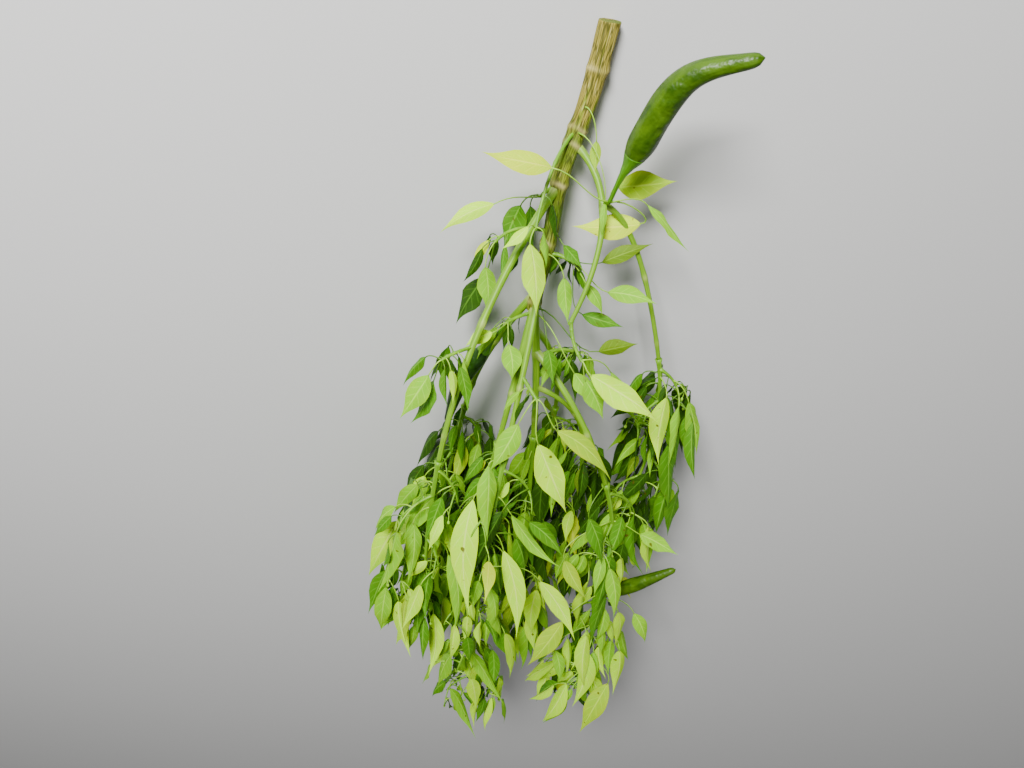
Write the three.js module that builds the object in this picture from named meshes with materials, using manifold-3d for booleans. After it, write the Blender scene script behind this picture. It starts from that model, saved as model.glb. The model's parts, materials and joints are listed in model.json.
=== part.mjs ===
// A cut chilli pepper plant that hung head down to dry and now lies on the ground, in millimetres.
// +Y runs from the leaf tips to the cut end, +X is to the right and +Z is up from the ground.
// A place is written as [x, y, front]: front is counted from the plant's own middle plane,
// and the plane's height above the ground at y is liftAt(y).
import * as THREE from "three";
import { mergeVertices } from "three/addons/utils/BufferGeometryUtils.js";
import Module from "manifold-3d";

const wasm = await Module();
wasm.setup();

// Driving sizes
const cutEndY = 165; // where the stem was cut, counted from the middle of the stem's upper part
const tipsY = -772; // the furthest leaf tips
const cutLift = 5.2; // height of the plane at the cut end, so that the cut edge rests on the ground
const crownLift = 72; // height of the plane in the crown
const liftedY = -210; // the plane is level from here to the tips
const crownTop = 262; // no leaf stands higher above the ground
const groundGap = 1.6; // middle of the lowest leaves above the ground
const stemRadius = 10;
const forkRadius = 6.6;
const seatGap = 0.3; // between a limb and what grows on it
const spaceGap = 3; // between the spaces of two masses, at a leaf's outline
const limbGap = 2; // between a leaf and a limb or fruit that it passes
const leafGap = 7.5; // between the marks on two leaves of one mass
const seatedGap = 7; // between the marks on a leaf and those on the placed leaves
const rootAbove = 25; // how far above its blade a placed leaf roots in a mass
const goldenAngle = 2.39996;
const droop = new THREE.Vector3(0, -1, 0); // the way that everything hung

// Leaf sizes: shares are of the blade's length
const leafLength = [66, 108];
const leafWidthShare = [0.35, 0.43];
const petioleShare = [0.26, 0.4];
const petioleRadius = 0.8;
const petioleSeat = { length: 9, radius: 1.3 }; // the pointed foot that a petiole sinks into its twig
const leafKeel = 1.3;
const twigRadii = [2.1, 1.7];
const twigNodes = [0.35, 0.55, 0.72, 0.88, 0.99];
const crownLeaves = 3; // at the end of a stem
const retries = 16;
const stalkRadius = 1.6;

// Stems: radii at both ends, and the places of the swollen nodes along each
const mainStem = {
  name: "main_stem",
  through: [
    [20, cutEndY, 4.5],
    [13, 98, 6],
    [-3, 31, 8],
    [-6, -25, 7],
    [-15, -103, 10],
  ],
  radii: [stemRadius, forkRadius],
  nodes: [0.143, 0.335, 0.385, 0.525, 0.74, 0.97],
};

// Boughs: each is one curve from its parent's middle, at a share of the parent's length,
// by way of a bend to its tip
const boughs = [
  {
    name: "bough_leader",
    parent: "main_stem",
    at: 0.98,
    bend: [0, -170, 14],
    to: [6, -262, 30],
    radii: [5, 3.2],
    nodes: [0.35, 0.85],
  },
  {
    name: "bough_left_inner",
    parent: "main_stem",
    at: 0.96,
    bend: [-28, -160, 42],
    to: [-38, -258, 46],
    radii: [4.4, 3],
    nodes: [0.6],
  },
  {
    name: "bough_left_back",
    parent: "main_stem",
    at: 0.93,
    bend: [-62, -170, -22],
    to: [-72, -268, -26],
    radii: [4.6, 3],
    nodes: [0.42, 0.8],
  },
  {
    name: "bough_left_front",
    parent: "main_stem",
    at: 0.525,
    bend: [-92, -66, 84],
    to: [-112, -221, 112],
    radii: [4.4, 2.8],
    nodes: [0.5, 0.9],
  },
  {
    name: "bough_centre_front",
    parent: "main_stem",
    at: 0.83,
    bend: [-24, -110, 66],
    to: [-40, -222, 104],
    radii: [3.8, 2.6],
    nodes: [0.62],
  },
  {
    name: "bough_right_upper",
    parent: "main_stem",
    at: 0.38,
    bend: [60, 32, 54],
    to: [12, -81, 70],
    radii: [3.6, 2.2],
    nodes: [0.38],
  },
  {
    name: "bough_right_back",
    parent: "bough_right_upper",
    at: 0.36,
    bend: [78, 4, 26],
    to: [128, -150, 22],
    radii: [2.9, 2.2],
    nodes: [0.5, 0.9],
  },
  {
    name: "bough_right_low",
    parent: "bough_leader",
    at: 0.33,
    bend: [44, -180, 74],
    to: [86, -282, 86],
    radii: [3.9, 2.8],
    nodes: [0.6],
  },
  {
    name: "bough_right_inner",
    parent: "bough_leader",
    at: 0.6,
    bend: [54, -214, 24],
    to: [66, -268, 24],
    radii: [2.9, 2.2],
    nodes: [0.6],
  },
  {
    name: "bough_back",
    parent: "bough_leader",
    at: 0.17,
    bend: [36, -186, -30],
    to: [44, -276, -36],
    radii: [3.7, 2.6],
    nodes: [0.6],
  },
];

// Sprays: a short stem that leaves its limb in the same way, with leaves that are placed one by one
// as [base, tip, width], and more that hang from it by the seeded rule
const sprays = [
  {
    name: "leaf_spray_top_right",
    parent: "bough_right_back",
    at: 0.02,
    bend: [33, 28, 51],
    to: [36, 30, 55],
    radii: [2.2, 1.8],
    leaves: [
      [[76, 5, 38], [10, -1, 33], 25],
      [[47, 34, 34], [101, 41, 34], 27],
      [[72, 28, 54], [114, -14, 60], 13],
      [[-25, 66, 70], [-93, 80, 80], 21],
    ],
    fruits: [{ stalk: [42, 71, 74], middle: [66, 152, 101], tip: [112, 178, 124], radius: 13 }],
    reach: 50,
    extra: 2,
    seed: 5,
  },
  {
    name: "leaf_spray_left_upper",
    parent: "main_stem",
    at: 0.53,
    bend: [-17, 20, 12],
    to: [-22, 14, 14],
    radii: [2.4, 2],
    leaves: [
      [[-71, 23, 48], [-122, 0, 58], 16],
      [[-38, -2, -2], [-50, -50, -8], 30],
      [[-27, -6, -10], [-20, -54, -18], 26],
    ],
    fruits: [],
    reach: 50,
    extra: 3,
    seed: 7,
  },
  {
    name: "leaf_spray_centre_upper",
    parent: "main_stem",
    at: 0.335,
    bend: [-22, 66, 38],
    to: [-31, 4, 58],
    radii: [1.9, 1.4],
    leaves: [
      [[-36, -4, 66], [-27, -60, 90], 29],
      [[-40, 14, 70], [-64, -6, 74], 12],
    ],
    fruits: [],
    reach: 40,
    extra: 2,
    seed: 9,
  },
  {
    name: "leaf_spray_left_middle",
    parent: "main_stem",
    at: 0.7,
    bend: [-44, -8, 14],
    to: [-64, -24, 26],
    radii: [2, 1.6],
    leaves: [
      [[-73, -44, 35], [-68, -88, 42], 22],
      [[-70, -72, 6], [-96, -126, 4], 28],
    ],
    fruits: [],
    reach: 56,
    extra: 10,
    seed: 13,
  },
  {
    name: "leaf_spray_right_middle",
    parent: "main_stem",
    at: 0.78,
    bend: [8, -40, 14],
    to: [16, -46, 20],
    radii: [2.3, 2],
    leaves: [
      [[28, -52, 46], [48, -78, 58], 17],
      [[52, -62, 44], [100, -66, 56], 18],
      [[46, -42, 26], [92, -18, 34], 16],
      [[34, -96, 28], [78, -104, 36], 15],
    ],
    fruits: [],
    reach: 62,
    extra: 9,
    seed: 17,
  },
  {
    name: "leaf_spray_left_low",
    parent: "bough_left_inner",
    at: 0.08,
    bend: [-34, -104, 20],
    to: [-44, -106, 30],
    radii: [2, 1.7],
    leaves: [
      [[-62, -100, 56], [-90, -112, 62], 15],
      [[-44, -114, 54], [-38, -150, 66], 21],
    ],
    fruits: [{ stalk: [-60, -140, 18], middle: [-84, -186, 16], tip: [-98, -250, 22], radius: 10 }],
    reach: 60,
    extra: 12,
    seed: 19,
  },
  {
    name: "leaf_spray_left_front",
    parent: "bough_left_front",
    at: 0.58,
    bend: [-108, -98, 94],
    to: [-116, -104, 97],
    radii: [1.9, 1.6],
    leaves: [
      [[-128, -118, 100], [-154, -168, 102], 24],
      [[-122, -132, 90], [-138, -190, 86], 26],
    ],
    fruits: [],
    reach: 56,
    extra: 5,
    seed: 29,
  },
  {
    name: "leaf_spray_centre",
    parent: "bough_centre_front",
    at: 0.56,
    bend: [-20, -146, 84],
    to: [-14, -152, 90],
    radii: [2.2, 1.9],
    leaves: [
      [[10, -182, 102], [76, -238, 122], 24],
      [[-10, -190, 114], [31, -270, 142], 31],
      [[-32, -172, 104], [-58, -226, 122], 24],
    ],
    fruits: [],
    reach: 56,
    extra: 9,
    seed: 31,
  },
  {
    name: "leaf_spray_right_upper",
    parent: "bough_right_upper",
    at: 0.98,
    bend: [15, -96, 78],
    to: [26, -108, 88],
    radii: [2, 1.6],
    leaves: [
      [[34, -115, 99], [106, -144, 128], 31],
      [[34, -132, 84], [60, -178, 88], 22],
      [[60, -126, 78], [98, -186, 84], 20],
    ],
    fruits: [],
    reach: 62,
    extra: 10,
    seed: 43,
  },
  {
    name: "leaf_spray_right_back",
    parent: "bough_right_low",
    at: 0.04,
    bend: [20, -150, 2],
    to: [48, -164, -4],
    radii: [2.4, 1.9],
    leaves: [],
    fruits: [],
    reach: 62,
    extra: 10,
    seed: 47,
  },
];

// Masses: each hangs round one stem from a bough's tip and keeps to a space of its own reach. The front ones
// have some leaves that are placed, too
const masses = [
  {
    name: "leaf_mass_left_front",
    bough: "bough_left_front",
    to: [-112, -500, 112],
    leaves: [
      [[-93, -359, 134], [-83, -460, 176], 23],
      [[-103, -487, 136], [-104, -580, 172], 23],
      [[-136, -309, 128], [-141, -387, 160], 21],
    ],
    reach: 60,
    twigs: 8,
    seed: 11,
  },
  {
    name: "leaf_mass_centre_front",
    bough: "bough_centre_front",
    to: [-30, -692, 124],
    leaves: [
      [[-59, -219, 118], [-58, -301, 152], 26],
      [[-71, -269, 124], [-63, -406, 178], 31],
      [[-27, -287, 130], [28, -343, 162], 19],
      [[-30, -341, 140], [-6, -452, 186], 25],
      [[-2, -315, 118], [42, -351, 142], 21],
      [[21, -400, 142], [71, -473, 178], 22],
      [[-50, -563, 146], [-3, -640, 184], 21],
      [[-17, -570, 140], [-14, -640, 168], 17],
      [[-68, -671, 148], [-30, -755, 184], 22],
    ],
    reach: 60,
    twigs: 10,
    seed: 23,
  },
  {
    name: "leaf_mass_right_front",
    bough: "bough_right_low",
    to: [112, -690, 118],
    leaves: [
      [[66, -306, 118], [88, -363, 144], 24],
      [[49, -375, 128], [82, -424, 152], 18],
      [[139, -352, 104], [184, -367, 124], 22],
      [[70, -572, 138], [82, -628, 160], 17],
      [[66, -494, 140], [26, -559, 170], 28],
      [[159, -650, 146], [129, -734, 182], 28],
      [[112, -712, 140], [79, -755, 160], 18],
      [[166, -503, 120], [187, -545, 140], 19],
    ],
    reach: 62,
    twigs: 8,
    seed: 37,
  },
  { name: "leaf_mass_centre", bough: "bough_leader", to: [38, -640, 58], reach: 56, twigs: 6, seed: 41 },
  { name: "leaf_mass_left_inner", bough: "bough_left_inner", to: [-64, -610, 34], reach: 56, twigs: 6, seed: 53 },
  { name: "leaf_mass_left_back", bough: "bough_left_back", to: [-92, -560, -30], reach: 58, twigs: 5, seed: 67 },
  { name: "leaf_mass_back", bough: "bough_back", to: [44, -590, -32], reach: 58, twigs: 5, seed: 71 },
  {
    name: "leaf_mass_right_inner",
    bough: "bough_right_inner",
    to: [80, -560, 22],
    leaves: [],
    reach: 48,
    twigs: 5,
    seed: 97,
  },
  { name: "leaf_mass_right_side", bough: "bough_right_back", to: [142, -450, 14], reach: 60, twigs: 7, seed: 83 },
];

// Fruits that hang inside the masses, at a share of the mass's stem
const hangingFruits = {
  leaf_mass_right_front: [
    { share: 0.42, stalk: [128, -462, 114], middle: [150, -424, 126], tip: [186, -386, 130], radius: 9 },
  ],
  leaf_mass_back: [{ share: 0.3, stalk: [66, -428, -34], middle: [72, -478, -40], tip: [62, -528, -44], radius: 11 }],
  leaf_mass_left_back: [
    { share: 0.4, stalk: [-112, -430, -22], middle: [-122, -478, -18], tip: [-116, -524, -26], radius: 10 },
  ],
};

const colours = { bark: 0x7d8a4a, bough: 0x7fae3c, leaf: 0xa3c25a };

// Height of the plant's middle plane above the ground
function liftAt(y) {
  const share = THREE.MathUtils.smoothstep(cutEndY - y, 0, cutEndY - liftedY);
  return cutLift + (crownLift - cutLift) * share;
}

function place([x, y, front]) {
  return new THREE.Vector3(x, y, front + liftAt(y));
}

// The same numbers between 0 and 1 for the same seed
function seeded(seed) {
  let state = seed >>> 0;
  const next = () => {
    state = (Math.imul(state, 1664525) + 1013904223) >>> 0;
    return state / 4294967296;
  };
  next();
  next();
  return next;
}

function moved(start, ...steps) {
  return steps.reduce((point, [way, far]) => point.addScaledVector(way, far), start.clone());
}

// A limb's curve: through its places, or from its parent by one bend
function curveOf(limb, parents) {
  if (limb.through) return new THREE.CatmullRomCurve3(limb.through.map(place));
  const root = parents.find(({ name }) => name === limb.parent).curve.getPointAt(limb.at);
  return new THREE.QuadraticBezierCurve3(root, place(limb.bend), place(limb.to));
}

// A closed geometry as a solid for cutting and joining
function solidOf(geometry) {
  geometry.deleteAttribute("normal");
  geometry.deleteAttribute("uv");
  const merged = mergeVertices(geometry, 1e-4);
  const mesh = new wasm.Mesh({
    numProp: 3,
    vertProperties: merged.attributes.position.array,
    triVerts: new Uint32Array(merged.index.array),
  });
  return new wasm.Manifold(mesh);
}

function reshape(geometry, placeVertex) {
  const position = geometry.attributes.position;
  const vertex = new THREE.Vector3();
  for (let i = 0; i < position.count; i++) {
    const to = placeVertex(vertex.fromBufferAttribute(position, i));
    position.setXYZ(i, to.x, to.y, to.z);
  }
  return solidOf(geometry);
}

// A round limb along a curve, with its radius given at each share of the way; grown makes it larger all round
function limbSolid(curve, radiusAt, sides, steps, grown = 0) {
  const up = new THREE.Vector3(0, 0, 1);
  return reshape(new THREE.CylinderGeometry(1, 1, 1, sides, steps), (vertex) => {
    const share = vertex.y + 0.5;
    const tangent = curve.getTangentAt(share);
    const side = new THREE.Vector3().crossVectors(tangent, up).normalize();
    const back = new THREE.Vector3().crossVectors(side, tangent);
    const radius = radiusAt(share) + grown;
    const beyond = share === 0 ? -grown : share === 1 ? grown : 0;
    return moved(
      curve.getPointAt(share),
      [tangent, beyond],
      [side, vertex.x * radius],
      [back, vertex.z * radius],
    );
  });
}

// Even taper with a swelling at each node
function limbRadius(limb, share) {
  const [start, end] = limb.radii;
  const taper = THREE.MathUtils.lerp(start, end, share);
  const swell = (limb.nodes ?? []).reduce((sum, node) => sum + Math.exp(-(((share - node) / 0.03) ** 2)), 0);
  return taper * (1 + 0.14 * swell);
}

// A fruit's stalk, calyx and body as one bent limb
function fruitSolid({ root, stalk, middle, tip, radius }) {
  const curve = new THREE.CatmullRomCurve3([root, ...[stalk, middle, tip].map(place)]);
  const stalkShare = root.distanceTo(place(stalk)) / curve.getLength();
  const radiusAt = (share) => {
    const body = (share - stalkShare) / (1 - stalkShare);
    const shoulder = THREE.MathUtils.smoothstep(body, -0.06, 0.2);
    const taper = 1 - 0.62 * THREE.MathUtils.smoothstep(body, 0.34, 1.1) ** 1.1;
    const blunt = 1 - 0.7 * THREE.MathUtils.smoothstep(body, 0.93, 1);
    return Math.max(stalkRadius, radius * shoulder * taper * blunt);
  };
  return limbSolid(curve, radiusAt, 7, 13);
}

// A petiole and blade: a three-sided ball whose rows follow the foot, the knee, the base and the blade
function leafSolid(leaf) {
  const { root, knee, base, tip, width, face } = leaf;
  const along = new THREE.Vector3().subVectors(tip, base);
  const side = new THREE.Vector3().crossVectors(face, along).normalize();
  const arch = along.length() * 0.05;
  const halfWidth = width / 2 / Math.sin(Math.PI / 3);
  const outward = new THREE.Vector3().subVectors(knee ?? base, root).normalize();
  const row = (at, wide, deep = wide) => ({ at, wide, deep });
  const rows = [
    row(root, 0),
    row(moved(root, [outward, petioleSeat.length]), petioleSeat.radius),
    ...(knee ? [row(knee, petioleRadius)] : []),
    row(base, petioleRadius),
    row(moved(base, [along, 0.38], [face, arch]), halfWidth, leafKeel),
    ...(knee ? [row(moved(base, [along, 0.7], [face, arch * 0.8]), halfWidth * 0.62, leafKeel * 0.8)] : []),
    row(tip, 0),
  ];
  const last = rows.length - 1;
  return reshape(new THREE.SphereGeometry(1, 3, last), (vertex) => {
    const down = Math.acos(THREE.MathUtils.clamp(vertex.y, -1, 1));
    const { at, wide, deep } = rows[Math.round((down / Math.PI) * last)];
    const ring = Math.max(Math.sin(down), 1e-6);
    return moved(at, [side, (-vertex.z / ring) * wide], [face, (vertex.x / ring) * deep]);
  });
}

// The way that a blade's upper side looks: away from its stem, and a little towards the front
function faceOf(out, along, roll) {
  const way = along.clone().normalize();
  const look = out.clone().add(new THREE.Vector3(0, 0, 0.8));
  look.addScaledVector(way, -look.dot(way)).normalize();
  return look.applyAxisAngle(way, roll);
}

function radial(angle) {
  return new THREE.Vector3(Math.cos(angle), 0, Math.sin(angle));
}

function onGround(point) {
  point.z = Math.max(point.z, groundGap);
  return point;
}

// Points on a leaf that are tested against its neighbours
function leafProbes({ root, base, tip, width, face }) {
  const along = new THREE.Vector3().subVectors(tip, base);
  const side = new THREE.Vector3().crossVectors(face, along).normalize();
  const half = width / 2;
  return [
    moved(root, [new THREE.Vector3().subVectors(base, root), 0.5]),
    base,
    ...[-half, half].map((out) => moved(base, [along, 0.36], [side, out])),
    moved(base, [along, 0.5]),
    ...[-half, half].map((out) => moved(base, [along, 0.7], [side, out * 0.62])),
    tip,
  ];
}

// A curve cut into short straight pieces, with its radius, for measuring distances
function traced(curve, radiusAt, count) {
  return Array.from({ length: count }, (_, i) => ({
    line: new THREE.Line3(curve.getPointAt(i / count), curve.getPointAt((i + 1) / count)),
    radius: radiusAt((i + 0.5) / count),
  }));
}

const nearest = new THREE.Vector3();

function clearance(point, trace) {
  return Math.min(
    ...trace.map(({ line, radius }) => line.closestPointToPoint(point, true, nearest).distanceTo(point) - radius),
  );
}

const limbs = [];
for (const limb of [mainStem, ...boughs]) {
  const curve = curveOf(limb, limbs);
  limbs.push({ ...limb, curve, trace: traced(curve, (share) => limbRadius(limb, share), 12) });
}
const limbTraces = limbs.flatMap((limb) => limb.trace);

// What a growth hangs on: its stem's curve, its fruits and the measures of its own space
function spaceOf(growth, curve, radii, fruits) {
  const fruitTraces = fruits.flatMap(({ stalk, middle, tip, radius }) => {
    const body = new THREE.CatmullRomCurve3([stalk, middle, tip].map(place));
    return traced(body, () => radius, 5);
  });
  return { ...growth, curve, radii, fruits, fruitTraces, trace: traced(curve, () => 0, 8), leaves: [] };
}

// A placed leaf: its petiole rises to a knee and comes down to the blade's base, and its blade
// turns towards the front
function placedLeaf(root, [base, tip, width], roll) {
  const [basePoint, tipPoint] = [place(base), place(tip)];
  const along = new THREE.Vector3().subVectors(tipPoint, basePoint);
  const petiole = new THREE.Vector3().subVectors(basePoint, root);
  const knee = moved(root, [petiole, 0.72], [droop, -0.16 * petiole.length()]);
  const out = new THREE.Vector3(along.x, 0, along.z).normalize().addScaledVector(droop, -0.8);
  return { root, knee, base: basePoint, tip: tipPoint, width, face: faceOf(out, along, roll) };
}

const spraySpaces = sprays.map((spray) => {
  const curve = curveOf(spray, limbs);
  const root = curve.getPointAt(0.97);
  const fruits = spray.fruits.map((fruit) => ({ ...fruit, root }));
  const leaves = spray.leaves.map((leaf, i) => placedLeaf(root, leaf, i % 2 ? 0.3 : -0.3));
  return { ...spaceOf(spray, curve, spray.radii, fruits), leaves };
});

// The place on a curve that is nearest to a point
function nearestOn(curve, point) {
  const places = curve.getSpacedPoints(40);
  return places.reduce((best, at) => (at.distanceTo(point) < best.distanceTo(point) ? at : best));
}

const massSpaces = masses.map((mass) => {
  const limb = limbs.find(({ name }) => name === mass.bough);
  const way = limb.curve.getTangentAt(1);
  const start = moved(limb.curve.getPointAt(1), [way, seatGap]);
  const end = place(mass.to);
  const curve = new THREE.QuadraticBezierCurve3(start, moved(start, [way, start.distanceTo(end) * 0.4]), end);
  const fruits = (hangingFruits[mass.name] ?? []).map((fruit) => ({ ...fruit, root: curve.getPointAt(fruit.share) }));
  const leaves = (mass.leaves ?? []).map((leaf, i) => {
    const above = moved(place(leaf[0]), [droop, -rootAbove]);
    return placedLeaf(nearestOn(curve, above), leaf, i % 2 ? 0.3 : -0.3);
  });
  return { ...spaceOf(mass, curve, [limb.radii[1], 1.6], fruits), leaves };
});
const spaces = [...spraySpaces, ...massSpaces];
const seatedMarks = spaces.flatMap((space) => space.leaves.flatMap(leafProbes));

// Whether a point keeps to the growth's own space, off the ground and clear of limbs, fruits
// and placed leaves
function free(point, growth) {
  const own = clearance(point, growth.trace);
  return (
    point.z > groundGap - 0.01 &&
    point.z < crownTop &&
    point.y > tipsY &&
    own < growth.reach * 1.3 &&
    spaces.every((other) => other === growth || clearance(point, other.trace) > own + spaceGap) &&
    spaces.every(({ fruitTraces }) => !fruitTraces.length || clearance(point, fruitTraces) > limbGap) &&
    clearance(point, limbTraces) > limbGap &&
    seatedMarks.every((mark) => mark.distanceTo(point) > seatedGap)
  );
}

// One leaf from a node, tried at several angles until it finds room among the leaves already there
function hangLeaf(growth, root, angle, size, random, taken) {
  const between = ([low, high]) => low + (high - low) * random();
  for (let i = 0; i < retries; i++) {
    const out = radial(angle + (random() - 0.5) * (0.8 + 0.4 * i));
    const length = between(leafLength) * size * (1 - 0.03 * i);
    const petiole = length * between(petioleShare);
    const base = onGround(moved(root, [out, petiole * 0.85], [droop, petiole * (0.2 + 0.5 * random())]));
    const along = moved(droop, [out, 0.1 + 0.4 * random()]).normalize();
    const tip = onGround(moved(base, [along, length]));
    const width = length * between(leafWidthShare);
    const face = faceOf(out, new THREE.Vector3().subVectors(tip, base), (random() - 0.5) * 1.5);
    const leaf = { root, base, tip, width, face };
    const marks = leafProbes(leaf);
    const apart = marks.slice(2).every((mark) => taken.every((other) => mark.distanceTo(other) > leafGap));
    if (!apart || !marks.every((mark) => free(mark, growth))) continue;
    taken.push(...marks);
    return [leaf];
  }
  return [];
}

// A spray's further leaves hang from the outer part of its stem
function growSpray(spray) {
  const taken = [];
  const hung = Array.from({ length: spray.extra }, (_, k) => {
    const root = spray.curve.getPointAt(0.97 - 0.05 * (k % 3));
    return hangLeaf(spray, root, k * goldenAngle, 0.8, seeded(spray.seed * 1009 + k * 7919), taken);
  });
  return { ...spray, twigs: [], leaves: [...spray.leaves, ...hung.flat()] };
}

// Twigs leave a mass's stem by the golden angle, droop, and carry leaves at their nodes and tips
function growMass(mass) {
  const twigs = [];
  const leaves = [...mass.leaves];
  const taken = mass.curve.getSpacedPoints(24);
  const hang = (root, angle, size, key) => {
    leaves.push(...hangLeaf(mass, root, angle, size, seeded(mass.seed * 1009 + key * 7919), taken));
  };
  for (let i = 0; i < mass.twigs; i++) {
    const random = seeded(mass.seed * 2003 + i * 9176);
    const root = mass.curve.getPointAt((i + 0.3) / mass.twigs);
    const around = i * goldenAngle + (random() - 0.5) * 0.8;
    const out = radial(around);
    const spread = mass.reach * (0.38 + 0.3 * random());
    const fall = 18 + 40 * random();
    const end = onGround(moved(root, [out, spread], [droop, fall]));
    const curve = new THREE.QuadraticBezierCurve3(root, moved(root, [out, spread * 0.8], [droop, fall * 0.2]), end);
    const fits = [0.5, 0.8, 1].every((share) => free(curve.getPointAt(share), mass));
    if (fits) {
      twigs.push(curve);
      taken.push(...[0.3, 0.5, 0.7, 0.9].map((share) => curve.getPointAt(share)));
    }
    twigNodes.forEach((share, k) => {
      const node = fits ? curve.getPointAt(share) : root;
      const turn = around + (k % 2 ? 1 : -1) * (0.3 + 0.35 * k);
      hang(node, turn, k > 2 ? 0.76 : 1, i * 10 + k);
    });
  }
  for (let k = 0; k < crownLeaves; k++) hang(mass.curve.getPointAt(0.98), k * 2.1, 0.9, 500 + k);
  return { ...mass, twigs, leaves };
}

// Everything on one stem fused into a single solid, without the leaves that would touch another node
function fuse(growth, limbCutter, finished) {
  const radiusAt = (share) => THREE.MathUtils.lerp(growth.radii[0], growth.radii[1], share);
  const twigAt = (share) => THREE.MathUtils.lerp(twigRadii[0], twigRadii[1], share);
  const clear = (solid) => finished.minGap(solid, 2 * seatGap) > 0.9 * seatGap;
  const pieces = [
    limbSolid(growth.curve, radiusAt, 4, 5).subtract(limbCutter),
    ...growth.twigs.map((curve) => limbSolid(curve, twigAt, 3, 2)).filter(clear),
    ...growth.leaves.map(leafSolid).filter(clear),
    ...growth.fruits.map((fruit) => fruitSolid(fruit, fruit.root)),
  ];
  return largest(wasm.Manifold.union(pieces));
}

// The main body of a solid, without loose scraps or sealed hollows
function largest(solid) {
  const bodies = solid.decompose().sort((a, b) => b.volume() - a.volume());
  return bodies[0].simplify(0.01);
}

function meshOf(name, solid, colour) {
  const { numProp, vertProperties, triVerts } = solid.getMesh();
  const geometry = new THREE.BufferGeometry();
  geometry.setAttribute("position", new THREE.BufferAttribute(vertProperties, numProp));
  geometry.setIndex(new THREE.BufferAttribute(triVerts, 1));
  geometry.computeVertexNormals();
  const material = new THREE.MeshStandardMaterial({ color: colour, roughness: 0.6, metalness: 0 });
  const mesh = new THREE.Mesh(geometry, material);
  mesh.name = name;
  return mesh;
}

const plant = new THREE.Group();

// Limbs in order: each is cut clear of those before it
let limbCutter = null;
let finished = null;
for (const limb of limbs) {
  const [sides, steps] = limb === limbs[0] ? [10, 24] : [6, 11];
  const solidOfSize = (grown) => limbSolid(limb.curve, (share) => limbRadius(limb, share), sides, steps, grown);
  const whole = solidOfSize(0);
  const solid = limbCutter ? largest(whole.subtract(limbCutter)) : whole;
  limbCutter = limbCutter ? limbCutter.add(solidOfSize(seatGap)) : solidOfSize(seatGap);
  finished = finished ? finished.add(solid) : solid;
  plant.add(meshOf(limb.name, solid, limb === limbs[0] ? colours.bark : colours.bough));
}
for (const growth of [...spraySpaces.map(growSpray), ...massSpaces.map(growMass)]) {
  const solid = fuse(growth, limbCutter, finished);
  finished = finished.add(solid);
  plant.add(meshOf(growth.name, solid, colours.leaf));
}

// The origin is on the ground, below the middle of the plant
const box = new THREE.Box3().setFromObject(plant);
const middle = box.getCenter(new THREE.Vector3());
plant.position.set(-middle.x, -middle.y, -box.min.z);

export default plant;
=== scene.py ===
"""A cut chilli pepper plant that lies on a pale floor, dressed for its portrait.

+Y runs from the leaf tips to the cut end of the stem, +X is to the right and +Z is up. Sizes and
places are in millimetres, counted from one mark on the stem, until a mould turns them into metres.
A place is written as (x, y, front): front is counted from the plant's own middle plane.
"""

import json
import logging
import math
from dataclasses import dataclass, field
from enum import Enum, IntEnum
from typing import Any, Callable, Iterable, Optional, Sequence

import bmesh
import bpy
import numpy as np
from mathutils import Matrix, Vector

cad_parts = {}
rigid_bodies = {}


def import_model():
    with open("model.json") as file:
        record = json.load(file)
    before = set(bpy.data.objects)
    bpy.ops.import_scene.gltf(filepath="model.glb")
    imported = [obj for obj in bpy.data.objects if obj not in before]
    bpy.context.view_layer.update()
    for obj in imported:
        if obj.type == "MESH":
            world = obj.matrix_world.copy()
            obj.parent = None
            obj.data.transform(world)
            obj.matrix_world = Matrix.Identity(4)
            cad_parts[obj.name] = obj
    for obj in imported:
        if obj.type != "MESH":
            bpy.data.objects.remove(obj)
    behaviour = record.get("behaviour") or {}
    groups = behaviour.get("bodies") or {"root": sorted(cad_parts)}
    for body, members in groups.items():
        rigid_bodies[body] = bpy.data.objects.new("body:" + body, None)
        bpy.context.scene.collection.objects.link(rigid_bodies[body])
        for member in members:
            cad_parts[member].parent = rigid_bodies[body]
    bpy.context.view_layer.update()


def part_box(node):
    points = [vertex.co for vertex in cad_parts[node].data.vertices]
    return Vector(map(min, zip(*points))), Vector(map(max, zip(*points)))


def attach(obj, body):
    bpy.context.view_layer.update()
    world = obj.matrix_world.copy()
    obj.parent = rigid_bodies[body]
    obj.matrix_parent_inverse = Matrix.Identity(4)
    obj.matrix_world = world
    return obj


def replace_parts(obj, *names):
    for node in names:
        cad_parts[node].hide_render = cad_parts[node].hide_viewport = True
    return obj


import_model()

logging.basicConfig(level=logging.INFO, format="%(message)s")
LOG = logging.getLogger("chilli_plant")

MM = 0.001
GOLDEN_ANGLE = 2.39996
MAP = "OFBake"
DROOP = np.array([0.0, -1.0, 0.0])
UP = np.array([0.0, 0.0, 1.0])
FRONT = 0.8
Place = tuple[float, float, float]


@dataclass(frozen=True)
class Lie:
    """How the plant lies: its middle plane rises from the cut end to the crown."""

    cut_end_y: float = 165.0
    lifted_y: float = -210.0
    tips_y: float = -772.0
    cut_lift: float = 5.2
    crown_lift: float = 72.0
    crown_top: float = 262.0
    ground_gap: float = 1.6
    middle_x: float = 5.0
    half_width: float = 197.0

    def lift_at(self, y: float) -> float:
        """Height of the middle plane above the floor at y."""
        share = min(max((self.cut_end_y - y) / (self.cut_end_y - self.lifted_y), 0.0), 1.0)
        share = share * share * (3 - 2 * share)
        return self.cut_lift + (self.crown_lift - self.cut_lift) * share

    def place(self, at: Sequence[float]) -> np.ndarray:
        """The point that (x, y, front) names."""
        return np.array([at[0], at[1], at[2] + self.lift_at(at[1])], dtype=float)


LIE = Lie()


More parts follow.
